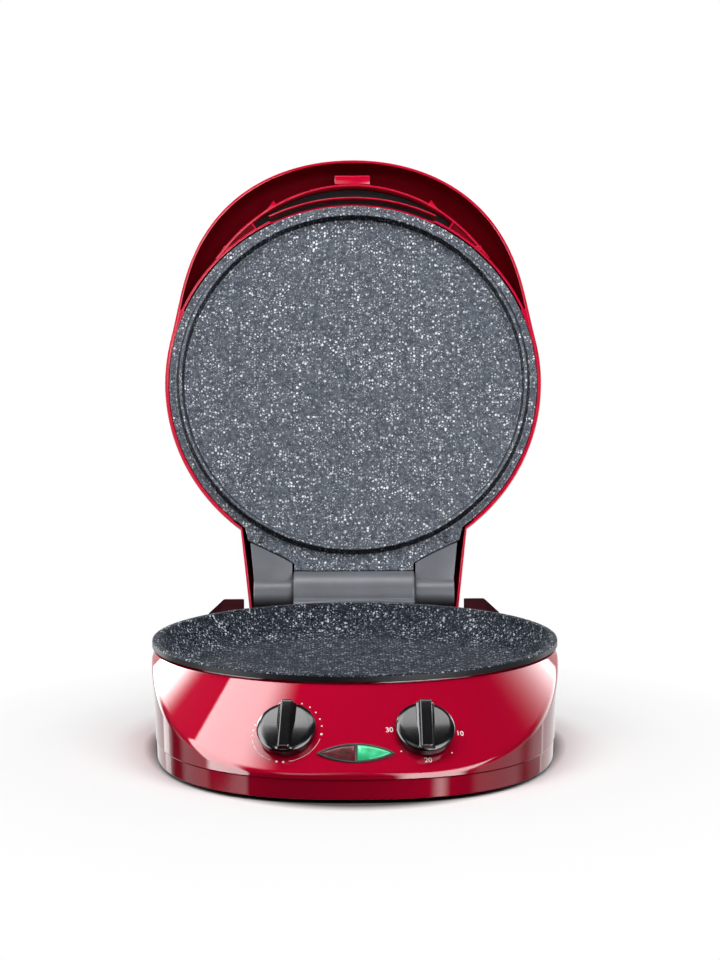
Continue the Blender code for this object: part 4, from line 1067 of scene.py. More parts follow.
def from_table(radius: float, height: float, azimuth: float) -> Vector:
    """A point at an azimuth from the front, at a height above the table."""
    return Vector((radius * math.sin(azimuth), -radius * math.cos(azimuth), height + TABLE_LEVEL))


@dataclass(frozen=True)
class PanelSeat:
    """A place on the panel: x across, y up the slope, z outward and turned to face an azimuth."""

    plan: BasePlan
    azimuth: float
    down: float
    facing: float
    points: float = 0.0

    def matrix(self) -> Matrix:
        """The seat's place and turn.

        Returns:
            The seat's frame in the scene.
        """
        radius = self.plan.top_radius + self.down * math.cos(self.plan.slope)
        spot = from_table(radius, self.plan.panel_height(radius), self.azimuth)
        place = Matrix.Translation(spot) @ Matrix.Rotation(self.facing, 4, "Z")
        return place @ Matrix.Rotation(self.plan.slope, 4, "X")

    def turned(self) -> Matrix:
        """The seat with its knob's own turn."""
        return self.matrix() @ Matrix.Rotation(self.points, 4, "Z")

    def on_panel(self, across: float, up: float, lift: float) -> Vector:
        """A point of the curved panel straight below a point of the seat, raised by a lift.

        Args:
            across: How far right of the seat's middle.
            up: How far up the slope.
            lift: The lift.

        Returns:
            The point in the scene.
        """
        place = self.matrix()

        def past(level: float) -> bool:
            """Whether a level of the seat lies above the panel."""
            spot = place @ Vector((across, up, level))
            return spot.z - TABLE_LEVEL > self.plan.panel_height(math.hypot(spot.x, spot.y))

        return place @ Vector((across, up, halved(-12 * MM, 12 * MM, 30, past) + lift))


@dataclass
class Base:
    """The red base, its underside and the fixed pan."""

    plan: BasePlan = field(default_factory=BasePlan)
    wall: float = 2.6 * MM
    plinth_step: float = 0.7 * MM
    plinth_undercut: float = 0.6 * MM
    crease_round: float = 4 * MM
    top_edge: float = 1.2 * MM
    collar_outer: float = 166.4 * MM
    collar_inner: float = 164 * MM
    collar_top: float = 86.7 * MM
    steps: int = 360
    pan_radius: float = 170 * MM
    pan_floor: float = 136 * MM
    pan_depth: float = 26 * MM
    rim_height: float = 90 * MM
    lip_height: float = 5.6 * MM
    lip_width: float = 6.5 * MM
    throat: float = 161.9 * MM
    pan_wall: float = 3 * MM
    foot_height: float = 3.7 * MM

    def shell_row(self, azimuth: float) -> list[Vector]:
        """The shell's section at an azimuth, as radius and height, out and back in.

        Args:
            azimuth: The azimuth.

        Returns:
            The section's points.
        """
        plan = self.plan
        foot = plan.wall_radius(azimuth, plan.plinth_top)
        low = plan.plinth_top + self.plinth_step
        corner = plan.crease(azimuth)
        reach = min(self.crease_round, (corner.y - low) * 0.45)
        corners: list[Corner] = [
            (foot - self.plinth_step - self.plinth_undercut, plan.clearance, 0.6 * MM),
            (foot - self.plinth_step, plan.plinth_top, 0.3 * MM),
            (plan.wall_radius(azimuth, low), low, 0.25 * MM),
        ]
        for height in spaced(low, corner.y - reach * 1.15, 9)[1:]:
            corners.append((plan.wall_radius(azimuth, height), height, 0.0))
        corners.append((corner.x, corner.y, reach))
        for share in (0.3, 0.55, 0.8):
            radius = corner.x + (plan.top_radius - corner.x) * share
            corners.append((radius, corner.y + (plan.top - corner.y) * share, 0.0))
        inner = corner.x - self.wall
        inside_foot = foot - self.plinth_step - self.wall
        corners += [
            (plan.top_radius, plan.top, self.top_edge),
            (self.collar_outer, plan.top, 0.0),
            (self.collar_outer, self.collar_top, 0.0),
            (self.collar_inner, self.collar_top, 0.0),
            (self.collar_inner, plan.panel_height(self.collar_inner, self.wall), 0.0),
            (inner, plan.panel_height(inner, self.wall), 0.0),
            (inside_foot, low, 0.0),
            (inside_foot - self.plinth_undercut, plan.clearance, 0.4 * MM),
        ]
        return rounded(corners, looped=True, steps=6)

    def shell(self) -> Mesh:
        """The red shell.

        Returns:
            The shell's mesh.
        """
        rows = []
        for azimuth in all_round(self.steps):
            rows.append([from_table(point.x, point.y, azimuth) for point in self.shell_row(azimuth)])
        return lofted("base_shell", rows, looped=True)

    def pan(self) -> Mesh:
        """The fixed lower pan.

        Returns:
            The pan's mesh.
        """
        top = self.rim_height
        floor = top - self.pan_depth
        run = self.throat - self.pan_floor
        under = top - self.lip_height
        thick = self.pan_wall
        edge = self.pan_radius
        lip = edge - self.lip_width
        flange = self.collar_inner - 0.6 * MM
        shares = ((0.4, 0.88), (0.72, 0.62), (0.92, 0.3))
        wall = [(self.pan_floor + run * out, top - self.pan_depth * down) for out, down in shares]
        corners: list[Corner] = [
            (0.0, floor, 0.0),
            (self.pan_floor - 2 * MM, floor, 4 * MM),
            *[(radius, height, 3.2 * MM) for radius, height in wall],
            (self.throat, under, 1.2 * MM),
            (lip, top - 1.6 * MM, 1.2 * MM),
            (lip + 1.2 * MM, top, 1.3 * MM),
            (edge, top, 1.7 * MM),
            (edge, under, 0.5 * MM),
            (edge - thick, under, 0.0),
            (edge - thick, top - thick, 0.0),
            (flange, top - thick, 0.0),
            (flange, under - thick, 0.0),
            (wall[2][0], wall[2][1] - thick, 0.0),
            (wall[1][0] + 0.9 * MM, wall[1][1] - thick, 0.0),
            (wall[0][0] + 1.8 * MM, wall[0][1] - thick, 0.0),
            (self.pan_floor, floor - thick, 0.0),
            (0.0, floor - thick, 0.0),
        ]
        outline = [Vector((point.x, point.y + TABLE_LEVEL)) for point in rounded(corners, steps=5)]
        return lathed("lower_pan", outline, 320)

    def blacken_lip(self, pan: Thing) -> None:
        """Leaves the lip's outer side without speckles.

        Args:
            pan: The pan.
        """
        pan.data.materials.append(PAN_SIDE.material())
        for face in pan.data.polygons:
            low = face.center.z - TABLE_LEVEL < self.rim_height - 1.3 * MM
            if low and math.hypot(face.center.x, face.center.y) > self.pan_radius - self.lip_width * 0.6:
                face.material_index = 1

    def underside_places(self, *pairs: Pair) -> list[Place]:
        """Places under the base, facing down.

        Args:
            *pairs: Each pair's azimuth and distance inside the wall.

        Returns:
            The left and the right place of each pair, at full size.
        """
        places = []
        for azimuth, inset in pairs:
            radius = self.plan.wall_radius(azimuth, self.plan.plinth_top) - inset
            for side in Side:
                spot = from_table(radius, self.foot_height, side.value * azimuth)
                places.append((spot, Vector((0, 0, -1)), 1.0))
        return places

    def foot_shape(self) -> Mesh:
        """A rubber foot with a rounded tread and a shallow ring in it.

        Returns:
            The foot about its own origin.
        """
        tall = self.foot_height
        corners: list[Corner] = [
            (0.0, 0.0, 0.0),
            (9 * MM, 0.0, 0.2 * MM),
            (9 * MM, tall, 1.0 * MM),
            (6.4 * MM, tall, 0.3 * MM),
            (5.8 * MM, tall - 0.6 * MM, 0.2 * MM),
            (4.6 * MM, tall - 0.6 * MM, 0.2 * MM),
            (4.0 * MM, tall, 0.3 * MM),
            (0.0, tall, 0.0),
        ]
        return lathed("foot_shape", rounded(corners, steps=3), 40)

    def build(self, copies: CopiesRecipe) -> None:
        """Makes the base's pieces.

        Args:
            copies: The tree that sets copies at places.
        """
        Ticket(Body.BASE, Slot.RED, RED, ("base_shell",)).hand_over(self.shell())
        # The pan takes the darkened coating, as painted shade.
        self.blacken_lip(Ticket(Body.BASE, Slot.GRANITE, SHADED_PAN_GRANITE, ("lower_pan",)).hand_over(self.pan()))
        feet = self.underside_places((math.radians(37.5), 25.1 * MM), (math.radians(147.4), 20.1 * MM))
        names = [f"{end}_{side}" for end in ("front", "rear") for side in ("left", "right")]
        mesh = copies.place("feet", self.foot_shape(), feet, RUBBER)
        ticket = Ticket(Body.BASE, Slot.RUBBER, RUBBER, tuple(f"foot_{name}" for name in names))
        ticket.hand_over(mesh, "feet")
        spots = self.underside_places((math.radians(25), 47.8 * MM), (math.radians(116.5), 30.7 * MM))
        mesh = copies.place("cover_screws", screw_shape(3.5 * MM, 1.6 * MM, 0.0), spots, STEEL, math.pi / 2)
        ticket = Ticket(Body.BASE, Slot.STEEL, STEEL, tuple(f"cover_screw_{name}" for name in names))
        ticket.hand_over(mesh, "cover_screws")
        redress(MATT_BLACK, "base_cover", "cord_gland")
        redress(DARK_STEEL, "lower_heating_element", "upper_heating_element")
        redress(STEEL, "lower_heat_shield", "upper_heat_shield", "thermal_fuse", "timer_bell")
        redress(CERAMIC, "terminal_block", "thermostat_body", "timer_body", "lamp_holder")
        redress(STEEL, "thermostat_shaft", "timer_shaft", "hinge_pin_left", "hinge_pin_right")
        redress(LAMP_GLASS, "red_lamp", "green_lamp")


def screw_shape(radius: float, tall: float, shank: float) -> Mesh:
    """A pan-head screw with a cross recess, its head's seat at the origin and z outward.

    Args:
        radius: The head's radius.
        tall: The head's height.
        shank: The shank's length below the head, or 0.

    Returns:
        The screw.
    """
    corners: list[Corner] = [(0.0, -shank, 0.0)]
    if shank:
        corners += [(radius * 0.5, -shank, 0.0), (radius * 0.5, 0.0, 0.0)]
    corners += [(radius, 0.0, 0.0), (radius, tall * 0.55, tall * 0.4)]
    corners += [(radius * 0.72, tall, tall * 0.4), (0.0, tall, 0.0)]
    head = lathed("screw_head", rounded(corners, steps=3), 32)
    cutters = []
    wide = radius * 0.17
    for long_x, long_y in ((radius * 0.62, wide), (wide, radius * 0.62)):
        cutters.append(extruded("recess", boxed(-long_x, long_x, -long_y, long_y), tall * 0.35, tall * 1.5))
    return carved("screw_shape", head, cutters)


# Controls


@dataclass
class Knob:
    """A round knob with a finger grip across it."""

    seat: PanelSeat
    name: str
    body: Body
    radius: float = 23.2 * MM
    face_radius: float = 22.3 * MM
    lift: float = 1.9 * MM
    disc: float = 6.5 * MM
    crown: float = 1.2 * MM
    wedge: float = math.radians(4)
    grip_height: float = 6 * MM
    grip_half_width: float = 4.5 * MM
    grip_foot: float = 7.2 * MM
    grip_half_length: float = 21.5 * MM

    def disc_mesh(self) -> Mesh:
        """The knob's disc.

        Returns:
            The disc, flat in the seat's plane.
        """
        face = self.lift + self.disc
        corners: list[Corner] = []
        for radius in spaced(0, self.face_radius - 2.4 * MM, 8):
            corners.append((radius, face + self.crown * (1 - (radius / self.face_radius) ** 2), 0.0))
        corners += [
            (self.face_radius - 1.6 * MM, face, 0.5 * MM),
            (self.face_radius, face - 0.7 * MM, 0.5 * MM),
            (self.radius, face - 1.6 * MM, 0.3 * MM),
            (self.radius - 0.3 * MM, self.lift, 0.2 * MM),
            (0.0, self.lift, 0.0),
        ]
        mesh = lathed(f"{self.name}_disc", rounded(corners, steps=5), 128)
        for vertex in mesh.vertices:
            share = (vertex.co.z - self.lift) / self.disc
            vertex.co.z -= vertex.co.y * math.tan(self.wedge) * share
        return mesh

    def grip_mesh(self) -> Mesh:
        """The grip: a bar on a wider foot, rounded at its ends.

        Returns:
            The grip, flat in the seat's plane.
        """
        face = self.lift + self.disc
        top = face + self.grip_height
        half = self.grip_half_width
        rows = []
        for along in spaced(-1, 1, 40):
            end = max(0.0, (abs(along) - 0.93) / 0.07)
            pull = 1 - 0.16 * end**2
            reach = along * self.grip_half_length
            crown = top - 0.35 * MM * abs(along) ** 3 - 0.5 * MM * end**2
            corners: list[Corner] = [
                (-self.grip_foot * pull, face - 1.6 * MM, 0.0),
                (self.grip_foot * pull, face - 1.6 * MM, 0.0),
                (self.grip_foot * pull, face + 0.9 * MM, 0.6 * MM),
                (half * pull + 0.5 * MM, face + 2.1 * MM, 0.8 * MM),
                (half * pull, crown, 1.3 * MM),
                (-half * pull, crown, 1.3 * MM),
                (-half * pull - 0.5 * MM, face + 2.1 * MM, 0.8 * MM),
                (-self.grip_foot * pull, face + 0.9 * MM, 0.6 * MM),
            ]
            outline = rounded(corners, looped=True, steps=4)
            rows.append([Vector((point.x, reach, point.y)) for point in outline])
        return lofted(f"{self.name}_grip", rows, around=False, looped=True)

    def build(self) -> None:
        """Makes the knob."""
        mesh = joined(self.name, [self.disc_mesh(), bevelled("grip", self.grip_mesh(), 0.45 * MM, 2, 60.0)])
        mesh.transform(self.seat.turned())
        Ticket(self.body, Slot.BLACK, KNOB_BLACK, (self.name,)).hand_over(mesh)


@dataclass
class Dial:
    """The printed marks around a knob."""

    name: str
    seat: PanelSeat
    dots: tuple[Corner, ...] = ()
    arcs: tuple[Pair, ...] = ()
    figures: tuple[tuple[str, float, float], ...] = ()
    radius: float = 27.6 * MM
    ink: float = 0.12 * MM

    def dot_shape(self) -> Mesh:
        """A flat round dot of unit radius.

        Returns:
            The dot.
        """
        corners: list[Corner] = [(0.0, -1.0, 0.0), (1.0, -1.0, 0.0), (1.0, 1.0, 0.25), (0.0, 1.0, 0.0)]
        mesh = lathed("dot_shape", rounded(corners, steps=2), 20)
        mesh.transform(Matrix.Diagonal((1.0, 1.0, self.ink / MM, 1.0)))
        mesh.transform(Matrix.Scale(MM, 4))
        return mesh

    def figure(self, text: str, across: float, up: float) -> Mesh:
        """A printed number, flat in the seat's plane.

        Args:
            text: The number.
            across: How far right of the seat its middle stands.
            up: How far up the slope.

        Returns:
            The number's mesh.
        """
        curve = bpy.data.curves.new("figure", "FONT")
        curve.body = text
        curve.size = 6.2 * MM
        curve.align_x = "CENTER"
        curve.align_y = "CENTER"
        curve.extrude = self.ink
        curve.offset = 0.05 * MM
        curve.resolution_u = 6
        mesh = settled(placed("figure", curve))
        bpy.data.curves.remove(curve)
        mesh.transform(Matrix.Translation((across, up, 0.0)))
        mesh.materials.clear()
        return mesh

    def build(self, copies: CopiesRecipe, ribbons: RibbonRecipe) -> None:
        """Makes the marks and lays them on the panel.

        Args:
            copies: The tree that sets copies at places.
            ribbons: The tree that draws ribbons.
        """
        parts = []
        if self.dots:
            places = [(Vector((x, y, 0)), Vector((0, 0, 1)), size) for x, y, size in self.dots]
            parts.append(copies.place(f"{self.name}_dots", self.dot_shape(), places, DIAL_INK))
        for index, (start, end) in enumerate(self.arcs):
            turns = [math.radians(turn) for turn in spaced(start, end, 40)]
            path = [(self.radius * math.sin(turn), self.radius * math.cos(turn)) for turn in turns]
            parts.append(ribbons.draw(f"{self.name}_arc_{index}", path, 0.75 * MM, 2 * self.ink, DIAL_INK))
        parts += [self.figure(*figure) for figure in self.figures]
        mesh = joined(self.name, parts)
        for vertex in mesh.vertices:
            vertex.co = self.seat.on_panel(vertex.co.x, vertex.co.y, vertex.co.z)
        mesh.shade_flat()
        Ticket(Body.BASE, Slot.RED, DIAL_INK).hand_over(mesh, self.name)


def dotted(radius: float, marks: Sequence[Pair]) -> tuple[Corner, ...]:
    """Dots on a circle, from each one's turn in degrees and its size."""
    turns = [(math.radians(turn), size) for turn, size in marks]
    return tuple((radius * math.sin(turn), radius * math.cos(turn), size) for turn, size in turns)


@dataclass
class Indicator:
    """The pointed frame with a dark red and a lit green lens.

    Attributes:
        seat: Its place on the panel.
        half_length: Half its length.
        half_height: Half its height.
        rim: The frame's width.
        bar: The width of the bar between the lenses.
        depth: How far the frame reaches into the panel.
        proud: How far it stands out.
        gap: The slit around a lens.
        nearest: The least distance between two points of an outline.
        dome: A lens from its back to the middle of its face: the outline's share and the level in
            millimetres.
    """

    seat: PanelSeat
    half_length: float = 30.5 * MM
    half_height: float = 8.6 * MM
    rim: float = 1.4 * MM
    bar: float = 1.8 * MM
    depth: float = 3.2 * MM
    proud: float = 1.0 * MM
    gap: float = 0.3 * MM
    nearest: float = 0.1 * MM
    dome: tuple[Pair, ...] = (
        (1, -3.2),
        (1, 0.55),
        (0.985, 0.95),
        (0.9, 1.25),
        (0.72, 1.45),
        (0.45, 1.5),
        (0.0, 1.52),
    )

    def almond(self, long: float, tall: float, span: Pair | None = None) -> list[Pair]:
        """A pointed oval, or a part of it between two places along its length.

        Args:
            long: Half the oval's length.
            tall: Half its height.
            span: Where the part starts and ends.

        Returns:
            The outline.
        """
        bow = (long**2 + tall**2) / (2 * tall)
        start, end = span or (-long, long)

        def edge(x: float) -> float:
            """The upper edge's height."""
            return math.sqrt(max(bow**2 - x**2, 0)) - (bow - tall)

        outline = [(x, -edge(x)) for x in spaced(start, end, 28)]
        outline += [(x, edge(x)) for x in spaced(end, start, 28)]
        kept: list[Pair] = []
        for point in outline:
            if not kept or math.dist(point, kept[-1]) > self.nearest:
                kept.append(point)
        if math.dist(kept[0], kept[-1]) <= self.nearest:
            kept.pop()
        return kept

    def lens(self, low: float, high: float) -> Mesh:
        """A pane between two places along the frame, with a domed face.

        Args:
            low: Where it starts.
            high: Where it ends.

        Returns:
            The pane.
        """
        long = self.half_length - 2 * self.rim - self.gap
        tall = self.half_height - self.rim - self.gap
        outline = self.almond(long, tall, (low, high))
        middle = Vector(((low + high) / 2 * 0.9, 0))
        rows = []
        for shrink, level in self.dome:
            ring = [middle + (Vector(point) - middle) * shrink for point in outline]
            rows.append([Vector((point.x, point.y, level * MM)) for point in ring])
        points, faces = woven(rows, around=False, looped=True)
        return closed_mesh("lens", points, faces[:-1])

    def build(self) -> None:
        """Makes the frame and both lenses."""
        outer = extruded("frame", self.almond(self.half_length, self.half_height), -self.depth, self.proud)
        long = self.half_length - 2 * self.rim
        tall = self.half_height - self.rim
        openings = []
        for span in ((-long, -self.bar / 2), (self.bar / 2, long)):
            outline = self.almond(long, tall, span)
            openings.append(extruded("opening", outline, -self.depth * 2, self.proud * 3))
        bezel = bevelled("bezel", carved("bezel", outer, openings), 0.28 * MM, 2, 40.0)
        bezel.transform(self.seat.matrix())
        Ticket(Body.BASE, Slot.BLACK, MATT_BLACK, ("indicator_bezel",)).hand_over(bezel, "indicator_frame")
        near, far = self.bar / 2 + self.gap, long - 3 * self.gap
        lenses = ((Slot.RED_LENS, RED_LENS, -far, -near), (Slot.GREEN_LENS, GREEN_LENS, near, far))
        for slot, finish, low, high in lenses:
            pane = self.lens(low, high)
            pane.transform(self.seat.matrix())
            Ticket(Body.BASE, slot, finish, (slot.value,)).hand_over(pane, f"{slot.value}_pane")


# Hinge


@dataclass
class Hinge:
    """The grey knuckle behind the pan, its bracket, and the two red stands beside it.

    Attributes:
        plan: The base's walls and panel.
        back: The hinge axis's distance behind the pan's axis.
        height: Its height above the table.
        knuckle: The knuckle's radius.
        half_length: Half its length.
        low: The bracket's lower end.
        ledge: The height at which the bracket meets the knuckle in front.
        lip: The radius that the pieces behind the pan keep clear.
        stand_inner: Where a stand starts, from the middle.
        stand_outer: Where it ends.
        stand_back: Its rear face.
        stand_low: Its lower end.
        stand_top: Its upper face.
        stand_foot: The height at which its rear face starts to slant forward.
        stand_slant: How far it slants.
        chamfer: The width and height of its outer chamfer.
        washer_radius: The radius of a washer beside the knuckle.
        washer_faces: How far its two faces stand off the knuckle's end.
    """

    plan: BasePlan = field(default_factory=BasePlan)
    back: float = 199.5 * MM
    height: float = 92 * MM
    knuckle: float = 20.7 * MM
    half_length: float = 54.3 * MM
    low: float = 46 * MM
    ledge: float = 91.2 * MM
    lip: float = 172.2 * MM
    stand_inner: float = 99.8 * MM
    stand_outer: float = 132 * MM
    stand_back: float = 212 * MM
    stand_low: float = 22 * MM
    stand_top: float = 86 * MM
    stand_foot: float = 45 * MM
    stand_slant: float = 15 * MM
    chamfer: Pair = (14 * MM, 13 * MM)
    washer_radius: float = 18.2 * MM
    washer_faces: Pair = (0.05 * MM, 1.35 * MM)

    def front_at(self, across: float, height: float) -> float:
        """How far forward a piece behind the base may reach, at a height."""
        radius = self.lip if height > self.plan.top + 0.2 * MM else self.plan.half_width(height) + 0.3 * MM
        return math.sqrt(max(radius**2 - across**2, 0.0))

    def knuckle_mesh(self) -> Mesh:
        """The knuckle and its bracket.

        Returns:
            The mesh.
        """
        reach = self.knuckle
        turns = spaced(math.pi + math.asin((self.height - self.ledge) / reach), 0, 40)
        heights = [*spaced(self.low, self.plan.top, 6), self.plan.top + 0.3 * MM, self.ledge]
        rear = [(self.back + reach * math.cos(turn), self.height + reach * math.sin(turn)) for turn in turns]
        rear.append((self.back + reach - 3 * MM, self.low))
        rows = []
        for across in spaced(-self.half_length, self.half_length, 48):
            section = [(self.front_at(across, height), height) for height in heights]
            rows.append([Vector((across, y, z + TABLE_LEVEL)) for y, z in section + rear])
        mesh = lofted("hinge_block", rows, around=False, looped=True)
        return bevelled("hinge_block", mesh, 0.7 * MM, 3, 50.0)

    def stand_mesh(self, side: Side) -> Mesh:
        """One of the stands on which the appliance is stored upright.

        Args:
            side: The side on which it stands.

        Returns:
            The stand.
        """
        wide, tall = self.chamfer
        start = self.stand_outer - wide
        back = self.stand_back
        rows = []
        for across in [*spaced(self.stand_inner, start, 6), *spaced(start, self.stand_outer, 6)[1:]]:
            top = self.stand_top - tall * max(across - start, 0) / wide
            heights = [*spaced(self.stand_low, min(top, self.plan.top), 6), top]
            section = [(self.front_at(across, height), height) for height in heights]
            section += [(back, top), (back, self.stand_foot), (back - self.stand_slant, self.stand_low)]
            rows.append([Vector((side.value * across, y, z + TABLE_LEVEL)) for y, z in section])
        mesh = lofted("stand", rows, around=False, looped=True)
        return bevelled("stand", mesh, 0.9 * MM, 3, 35.0)

    def washers_mesh(self) -> Mesh:
        """The dark washers that fill the slits between the knuckle and the lid's barrels.

        Returns:
            Both washers as one mesh.
        """
        near, far = self.washer_faces
        outline = [(PIN_HOLE, near), (self.washer_radius, near), (self.washer_radius, far), (PIN_HOLE, far)]
        corners = [(radius, level, 0.2 * MM if radius > PIN_HOLE else 0.0) for radius, level in outline]
        rings = []
        for side in Side:
            ring = lathed("washer", rounded(corners, looped=True, steps=2), 64, looped=True)
            place = Matrix.Translation((side.value * self.half_length, self.back, self.height + TABLE_LEVEL))
            ring.transform(place @ Matrix.Rotation(side.value * math.pi / 2, 4, "Y"))
            rings.append(ring)
        return joined("hinge_washers", rings)

    def build(self) -> None:
        """Makes the knuckle, the washers and the stands."""
        Ticket(Body.BASE, Slot.BLACK, MATT_BLACK).hand_over(self.washers_mesh(), "hinge_washers")
        knuckle = Ticket(Body.BASE, Slot.GREY, HINGE_GREY, ("hinge_block",))
        knuckle.hand_over(self.knuckle_mesh(), "hinge_knuckle")
        for side in Side:
            name = f"rear_stand_{side.name.lower()}"
            # The stands take the darkened red, as painted shade.
            Ticket(Body.BASE, Slot.RED, SHADED_STAND_RED, (name,)).hand_over(self.stand_mesh(side))


# Lid


@dataclass(frozen=True)
class LidPlan:
    """The lid's outlines, in its own frame."""

    hinge: Corner = (0.0, 199.5 * MM, 89 * MM)
    lean: float = math.radians(20.4)
    centre: float = 199 * MM
    plate_radius: float = 169 * MM
    shell_radius: float = 173 * MM
    dome_radius: float = 150 * MM
    dome_depth: float = 54 * MM
    dome_drop: float = 10 * MM
    handle_reach: float = 40.8 * MM
    handle_angle: float = math.radians(78)
    handle_fullness: float = 2.5
    side: float = 20 * MM
    handle_side: float = 12 * MM
    shoulder_curve: float = 2.2
    handle_curve: float = 1.35
    draft: float = 2.6 * MM
    wall: float = 2.6 * MM
    tail_half_width: float = 94.1 * MM
    tail_end: float = -17 * MM
    tail_spread: float = 8.8 * MM
    inner_reach: float = 17.2 * MM
    inner_end: float = math.radians(50)

    def world(self, x: float, y: float, z: float) -> Vector:
        """A point of the lid's frame, in the scene.

        Args:
            x: How far right of the middle.
            y: How far from the hinge's axis.
            z: How far out of the cooking face.

        Returns:
            The point in the scene.
        """
        rise = Vector((0, math.sin(self.lean), math.cos(self.lean)))
        out = Vector((0, -math.cos(self.lean), math.sin(self.lean)))
        return Vector(self.hinge) + Vector((x, 0, 0)) + rise * y + out * z

    def polar(self, radius: float, azimuth: float, rise: float) -> Vector:
        """A point about the plate's centre, at an azimuth counted from the handle."""
        return self.world(radius * math.sin(azimuth), self.centre + radius * math.cos(azimuth), rise)

    def out(self) -> Vector:
        """The direction out of the cooking face."""
        return self.world(0, 0, 1) - self.world(0, 0, 0)

    def swept(
        self, name: str, azimuths: Iterable[float], section: Section, steps: int, bar: bool = True
    ) -> Mesh:
        """A mesh through sections about the plate's centre.

        Args:
            name: The mesh's name.
            azimuths: Where its sections stand.
            section: The corners of the section at an azimuth, as radius, rise and rounding.
            steps: Steps along each rounding.
            bar: Whether it has two ends and closed sections. If not, it goes all the way round.

        Returns:
            The mesh.
        """
        rows = []
        for azimuth in azimuths:
            outline = rounded(section(azimuth), looped=bar, steps=steps)
            rows.append([self.polar(point.x, azimuth, point.y) for point in outline])
        return lofted(name, rows, around=not bar, looped=bar)

    def handle_share(self, azimuth: float) -> float:
        """How far the handle has swelled out, from 0 at its ends to 1 in the middle."""
        turn = abs(azimuth) / self.handle_angle
        return (1 - turn**3) ** self.handle_fullness if turn < 1 else 0.0

    def tail_angle(self) -> float:
        """The azimuth at which the straight tail starts."""
        return math.pi - math.asin((self.tail_half_width + self.tail_spread) / self.shell_radius)

    def tail_corner(self) -> float:
        """The azimuth of the tail's rear corner."""
        return math.atan2(self.tail_half_width, self.tail_end - self.centre)

    def meet(self, azimuth: float, start: Pair, end: Pair) -> float:
        """The distance from the plate's centre to a line through two points, along an azimuth.

        Args:
            azimuth: The azimuth.
            start: The line's first point.
            end: Its second point.

        Returns:
            The distance, or infinity where they never meet.
        """
        along = Vector((math.sin(abs(azimuth)), math.cos(azimuth)))
        offset = Vector(start) - Vector((0, self.centre))
        run = Vector(end) - Vector(start)
        across = along.x * run.y - along.y * run.x
        return (offset.x * run.y - offset.y * run.x) / across if abs(across) > 1e-9 else math.inf

    def rim(self, azimuth: float) -> float:
        """The shell's outer rim.

        Args:
            azimuth: The azimuth.

        Returns:
            The rim's radius.
        """
        turn = abs(azimuth)
        if turn <= self.tail_angle():
            return self.shell_radius + self.handle_reach * self.handle_share(azimuth)
        angle = self.tail_angle()
        start = (self.shell_radius * math.sin(angle), self.centre + self.shell_radius * math.cos(angle))
        side = self.meet(azimuth, start, (self.tail_half_width, self.tail_end))
        back = (self.tail_end - self.centre) / math.cos(azimuth)
        return min(side, back) if side > 0 else back

    def depth(self, radius: float, azimuth: float, edge: float, inset: float = 0.0) -> float:
        """The shell's depth behind the rim, or that of its inner skin.

        Args:
            radius: The radius.
            azimuth: The azimuth.
            edge: The skin's outermost radius.
            inset: The wall's thickness, for the inner skin.

        Returns:
            The depth.
        """
        dome = self.dome_depth - self.dome_drop * (radius / self.dome_radius) ** 2 - inset
        if radius <= self.dome_radius:
            return dome
        share = self.handle_share(azimuth)
        side = self.side + (self.handle_side - self.side) * share - inset / 2
        curve = self.shoulder_curve + (self.handle_curve - self.shoulder_curve) * share
        reach = min((radius - self.dome_radius) / (edge - self.dome_radius), 1)
        return side + (dome - side) * math.sqrt(max(1 - reach**curve, 0))

    def wall_inset(self, azimuth: float) -> float:
        """The radial inset that keeps the tail's slanted walls from growing thin.

        Args:
            azimuth: The azimuth.

        Returns:
            The inset.
        """
        turn = abs(azimuth)
        if turn <= self.tail_angle() or turn >= self.tail_corner():
            return self.wall
        return self.wall * (1 + 0.9 * (turn - self.tail_angle()) / (self.tail_corner() - self.tail_angle()))

    def under_skin(self, radius: float, azimuth: float) -> float:
        """The rise of the shell's inner skin at a radius."""
        edge = self.rim(azimuth) - self.wall_inset(azimuth) - self.draft
        return -self.depth(min(radius, edge), azimuth, edge, self.wall)

    def inner_wall(self, azimuth: float) -> float:
        """The outer face of the wall between the handle's hollow and the plate."""
        turn = min(abs(azimuth) / self.inner_end, 1)
        return self.shell_radius + self.inner_reach * (1 - turn**2) ** 1.4


def bar_section(outside: float, inside: float, face: float, back: float, reach: float) -> list[Corner]:
    """A bar's square section, with the two edges of its face rounded."""
    return [(outside, face, reach), (inside, face, reach), (inside, back, 0.0), (outside, back, 0.0)]


